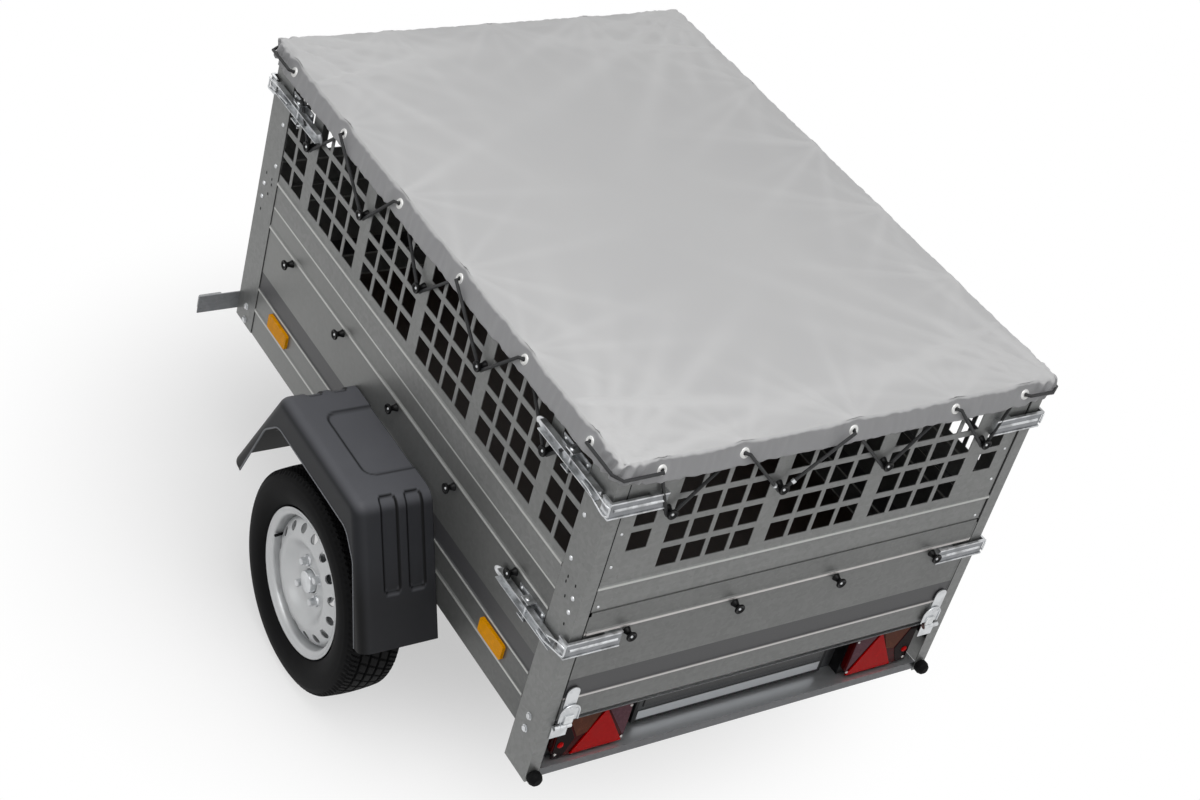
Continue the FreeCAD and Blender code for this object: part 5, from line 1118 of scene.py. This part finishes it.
def softened(node, width, segments=2):
    """Rounds the sharp edges of a piece or a CAD node's object by a modifier."""
    edge = node.modifiers.new("rolled_edges", "BEVEL")
    edge.width, edge.segments, edge.limit_method = width, segments, "ANGLE"
    edge.angle_limit = math.radians(40)
    return node


def rolled_block(half_x, half_y, low, high, roll, steps=4):
    """A block with a rounded outline and a rolled upper edge, about z."""
    corner = min(half_x, half_y) * 0.45
    outline, points = [], []
    for quarter, (sign_x, sign_y) in enumerate(((1, -1), (1, 1), (-1, 1), (-1, -1))):
        for angle in (math.pi / 2 * (quarter - 1 + step / 4) for step in range(5)):
            outline.append((sign_x * (half_x - corner) + corner * math.cos(angle),
                            sign_y * (half_y - corner) + corner * math.sin(angle)))
    rolled = [(roll - roll * math.cos(angle), high - roll + roll * math.sin(angle))
              for angle in (math.pi / 2 * step / steps for step in range(steps + 1))]
    for inset, height in [(0, low)] + rolled:
        for x, y in outline:
            inset_x, inset_y = math.copysign(min(inset, abs(x)), x), math.copysign(min(inset, abs(y)), y)
            points.append(Vector((x - inset_x, y - inset_y, height)))
    rows = rows_of(points, len(outline))
    return points, skin(rows) + [tuple(rows[-1])]


def acrylic(name, colour, cell, roughness=0.12, depth=0.55):
    """Moulded acrylic: a glossy coloured lens with a grid of small prisms behind its face."""
    material, tree = fresh_material(name)
    where = add(tree, "TexCoord").outputs["Object"]
    prism = add(tree, "TexVoronoi", {"Vector": where, "Scale": 1 / cell, "Randomness": 0.15},
                distance="MANHATTAN").outputs["Distance"]
    dapple = add(tree, "TexNoise", {"Vector": where, "Scale": 0.35 / cell, "Detail": 2.0}).outputs["Fac"]
    share = add(tree, "Math", {0: prism, 1: dapple}, operation="MULTIPLY").outputs[0]
    spread = add(tree, "MapRange", {"Value": share, "From Max": 0.4}).outputs[0]
    base = linear(colour)
    shown = add(tree, "Mix", {0: spread, 6: base, 7: toned(base, depth)}, data_type="RGBA").outputs[2]
    relief = add(tree, "Bump", {"Height": prism, "Strength": 0.25, "Distance": 0.0008}).outputs[0]
    shade(tree, {"Base Color": shown, "Roughness": roughness, "Normal": relief, "Specular IOR Level": 0.03})
    return material


lens_red = acrylic("deep_red_acrylic", "#520102", 0.004)
reflex_red = acrylic("red_reflex_acrylic", "#c40404", 0.003, depth=0.7)
window_pink = acrylic("smoky_pink_acrylic", "#6b4650", 0.0035)
window_amber = acrylic("amber_brown_acrylic", "#74402c", 0.0045)
outer_dark = acrylic("dark_red_acrylic", "#1d0203", 0.005)
light_red = acrylic("bright_red_acrylic", "#e00a0a", 0.005)
clear_cap = one_colour("clear_acrylic_caps", "#d4d0cc", {"Roughness": 0.15, "Coat Weight": 0.5})
base_in, base_out = TRIANGLE_BASE
apex = (base_in + base_out) / 2
low, high = LENS_LOW + LENS_MARGIN, LENS_HIGH - LENS_MARGIN
window_in, end_out = LENS_INNER + 0.004, LENS_OUTER - 0.004
zones = (
    ("lamp_reflectors", reflex_red, 0.0030, [
        (base_in, low + 0.001), (base_out, low + 0.001), (apex + 0.003, high), (apex - 0.003, high)]),
    ("lamp_plate_windows", window_pink, 0.0010, [
        (window_in, low + 0.012), (apex - 0.008, high), (window_in, high)]),
    ("lamp_amber_windows", window_amber, 0.0010, [
        (apex + 0.010, high), (0.421, 0.452), (0.446, 0.446), (0.478, high)]),
    ("lamp_dark_ends", outer_dark, 0.0010, [
        (0.450, 0.443), (0.470, low), (end_out, low), (end_out, high), (0.482, high)]),
)
body_form = rolled_block((LENS_OUTER - LENS_INNER) / 2, (LENS_HIGH - LENS_LOW) / 2, -LENS_DEEP, 0, LENS_ROLL)
body_middle = ((LENS_OUTER + LENS_INNER) / 2, (LENS_HIGH + LENS_LOW) / 2)
screw_spots = (
    (LENS_INNER + 0.008, high - 0.008), (LENS_INNER + 0.008, low + 0.010), (LENS_OUTER - 0.012, low + 0.010))


def on_rear(form, spots, depth):
    """Forms put on both sides at places across and up, on a face that looks to the rear."""
    return [placed(form, Vector((depth, sign * y, z)), LEFT * sign, UP, REARWARD)
            for sign in (1, -1) for y, z in spots]


lens = sharpened(piece("lamp_lens_bodies", merged(on_rear(body_form, [body_middle], LENS_FACE)), lens_red))
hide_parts("lamp_lenses")
for name, material, rise, outline in zones:
    zone_forms = on_rear(slab(outline, -0.002, rise), [(0, 0)], LENS_FACE)
    zone = softened(piece(name, merged(zone_forms), material, smooth=False), 0.0007)
    if name == "lamp_reflectors":
        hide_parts("lamp_triangles")
lights = on_rear(dome_head(0.0085, 0.0036), [ROUND_LIGHT], LENS_FACE - 0.001)
piece("lamp_round_lights", merged(lights), light_red)
screws = on_rear(dome_head(0.0036, 0.0022), screw_spots, LENS_FACE - 0.001)
piece("lamp_screw_caps", merged(screws), clear_cap)
dress(nylon, "lamp_cases")


# Number plate place
# A black polypropylene plate carrier with a blank glossy panel, and along its foot a blank pale strip with a
# brushed face, whose fine level hairs spread the light.
PLATE_FACE = -1.139
gloss_black = two_toned("glossy_black_polypropylene", "#111214", "#1e2022", 14.0, 4.0,
                        {"Roughness": 0.2, "Specular IOR Level": 0.3})
strip_metal = two_toned("brushed_pale_strip", "#a6a8aa", "#b4b6b8", 8.0, 3.0,
                        {"Metallic": 0.9, "Roughness": 0.35}, drawn=(1.0, 3.0, 200.0))
dress(gloss_black, "number_plate")
dress(nylon, "plate_holder")
plate_pieces = []
for name, half, low, high, rise, material in (
        ("plate_strip", 0.257, 0.399, 0.425, 0.0016, strip_metal),
        ("plate_blank_panel", 0.248, 0.436, 0.502, 0.0022, gloss_black)):
    form = slab([(-half, low), (half, low), (half, high), (-half, high)], 0.0, rise)
    plate_pieces.append(piece(name, placed(form, AHEAD * PLATE_FACE, LEFT, UP, REARWARD), material, smooth=False))
softened(plate_pieces[0], 0.0005)
softened(plate_pieces[1], 0.0012, 3)


# Tailgate hinges
# Pressed zinc-plated hinges: a dished half-round plate riveted to the tailgate, a square tab bent out under it,
# whose zinc is painted paler as a painted highlight, and the rolled barrel round the pin.
HINGE_FACE, HINGE_SHEET = -1.1925, 0.0018
HINGE_MIDDLE, HINGE_RADIUS, HINGE_ROUND, HINGE_FOOT = 0.5035, 0.0240, 0.556, 0.534
tab_highlight_zinc = plated("painted_highlight_zinc_tab", "#dcdedf", 0.42)
turns = [math.pi * step / 24 for step in range(25)]
half_round = [(HINGE_MIDDLE + HINGE_RADIUS, HINGE_FOOT)]
half_round += [(HINGE_MIDDLE + HINGE_RADIUS * math.cos(angle), HINGE_ROUND + HINGE_RADIUS * math.sin(angle))
               for angle in turns]
half_round.append((HINGE_MIDDLE - HINGE_RADIUS, HINGE_FOOT))
hinge_rim = tube([Vector((y, z, 0.0024)) for y, z in half_round], 0.0020, 8)
tab = slab([(0.4920, 0.527), (0.5150, 0.527), (0.5150, 0.550), (0.4920, 0.550)], 0.0, 0.0060)
hinge_rivets = [placed(dome_head(0.0034, 0.0022), Vector((y, z, HINGE_SHEET)), AHEAD, LEFT, UP)
                for y, z in ((0.5200, 0.566), (0.4880, 0.566), (0.5035, 0.5715))]
dish = merged([slab(half_round, 0.0, HINGE_SHEET), hinge_rim, *hinge_rivets])
dishes, tabs = (on_rear(form, [(0, 0)], HINGE_FACE) for form in (dish, tab))
hinge_dishes = softened(piece("hinge_dishes", merged(dishes), bright_zinc, "tailgate", smooth=False), 0.0004)
softened(piece("hinge_tabs", merged(tabs), tab_highlight_zinc, "tailgate", smooth=False), 0.0016, 3)


# Side reflectors and front markers
# Amber acrylic reflectors with rounded rims, stuck to the side panels, and white marker lenses on brackets at the
# front. Their small prisms scatter the light, so they look evenly lit.
amber = acrylic("amber_reflex_acrylic", "#ffab08", 0.0055, 0.18, 0.8)
white_lens = acrylic("white_marker_acrylic", "#dfe1e2", 0.006)
dress(amber, "side_reflectors")
softened(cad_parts["side_reflectors"], 0.0012)
dress(white_lens, "marker_lamps")


# Coupling and jockey wheel trimmings
# A black grip on the crank, and zinc-plated bolts through the coupling and the axle's seats.
grip_form = lathe(spline_points([
    (0.0, 0.0), (0.0110, 0.0), (0.0150, 0.006), (0.0155, 0.020), (0.0140, 0.034), (0.0150, 0.048), (0.0140, 0.062),
    (0.0150, 0.076), (0.0145, 0.088), (0.0090, 0.0945), (0.0, 0.0955)], 3), 24)
crank_grip = piece("crank_grip", placed(grip_form, Vector((0.763, -0.068, 0.650)), AHEAD, LEFT, UP), nylon,
                   "jockey_tube")
bolts = [placed(hexagon_bolt(0.017, 0.008), Vector((run, sign * 0.036, 0.412)), AHEAD, UP, LEFT * sign)
         for run in (1.072, 1.104) for sign in (1, -1)]
bolts += [placed(hexagon_bolt(0.015, 0.007), Vector((run, aside, 0.484)), AHEAD, LEFT, UP)
          for run in (-0.313, -0.231) for aside in (0.290, 0.330, -0.290, -0.330)]
sharpened(piece("coupling_bolts", merged(bolts), bright_zinc))


# Hems, seams and crimps
# The tailgate's sheet is folded over at its rim, close to the posts, and a thin strip of painted shadow marks where
# a panel laps behind a post. The elastic's ends are crimped in two short zinc tubes. The corner straps are pressed
# with a round bead along the middle, and the sheet beside the bead is painted darker than the bead, as painted
# shade.
GATE_BACK, GATE_FACE, GATE_LOW, GATE_TOP, GATE_HALF = -1.1675, -1.1873, 0.534, 0.8454, 0.5280
HEM_TOP, HEM_SIDE, SEAM_TOP = 0.8365, 0.5235, 1.190
POST_EDGES, SEAM_HALF, CRIMP_RADIUS, CRIMP_LENGTH, STRAP_BEAD = (-1.0982, 0.2842), 0.0009, 0.0056, 0.026, 0.0042
STRAP_START, STRAP_CORNER, STRAP_HEIGHT, STRAP_RIM, STRAP_STAND = 0.4345, 0.5690, 0.042, 0.0045, 0.0085


def brick(*spans):
    """A box between pairs of places in x, y and z."""
    spots = [(x, y, z) for x in sorted(spans[0]) for y in sorted(spans[1]) for z in sorted(spans[2])]
    return spots, [(0, 1, 3, 2), (4, 6, 7, 5), (0, 4, 5, 1), (2, 3, 7, 6), (0, 2, 6, 4), (1, 5, 7, 3)]


gate_depth = (GATE_FACE, GATE_BACK)
hems = [brick(gate_depth, (-GATE_HALF, GATE_HALF), (HEM_TOP, GATE_TOP))]
hems += [brick(gate_depth, (side * HEM_SIDE, side * GATE_HALF), (GATE_LOW, GATE_TOP)) for side in (1, -1)]
piece("gate_hems", merged(hems), gate_sheet, "tailgate", smooth=False)
# Thin strips of painted shadow where a panel laps behind a post or behind the flange.
seams = [brick((x - SEAM_HALF, x + SEAM_HALF), (side * 0.5600, side * 0.5607), (0.462, SEAM_TOP))
         for x in POST_EDGES for side in (-1, 1)]
seams += [brick((-1.1862, -1.1848), (side * 0.5272, side * 0.5300), (0.848, SEAM_TOP)) for side in (-1, 1)]
piece("post_seams", merged(seams), hole_shadow_paint, smooth=False)
crimps = []
for hooked, away in crimped_runs:
    start, heading = cord_path[hooked], cord_path[away] - cord_path[hooked]
    crimps.append(tube([start + heading * 0.10, start + heading.normalized() * CRIMP_LENGTH], CRIMP_RADIUS, 14))
sharpened(piece("elastic_crimps", merged(crimps), bright_zinc), 40)
# Painted shade: the strap's web beside the bead is darker zinc.
painted_shade_zinc = plated("painted_shade_zinc_plate", "#8c8e91", 0.38)
for name, body, ends in (("upper_strap", "chassis", ((REAR, -1, 1.118), (FRONT, 1, 1.118))),
                         ("gate_strap", "tailgate", ((REAR, -1, 0.737),))):
    webs, beads = [], []
    for corner, away, low in ends:
        face = corner + away * STRAP_STAND
        for side in (1, -1):
            first, last = sorted((side * STRAP_START, side * STRAP_CORNER))
            webs.append(brick((face - away * 0.0010, face + away * 0.0004), (first, last),
                              (low + STRAP_RIM, low + STRAP_HEIGHT - STRAP_RIM)))
            beads.append(tube([Vector((face - away * 0.0012, y, low + STRAP_HEIGHT / 2))
                               for y in (first + 0.008, last - 0.008)], STRAP_BEAD, 14))
    piece(name + "_webs", merged(webs), painted_shade_zinc, body, smooth=False)
    sharpened(piece(name + "_beads", merged(beads), latch_zinc, body), 50)
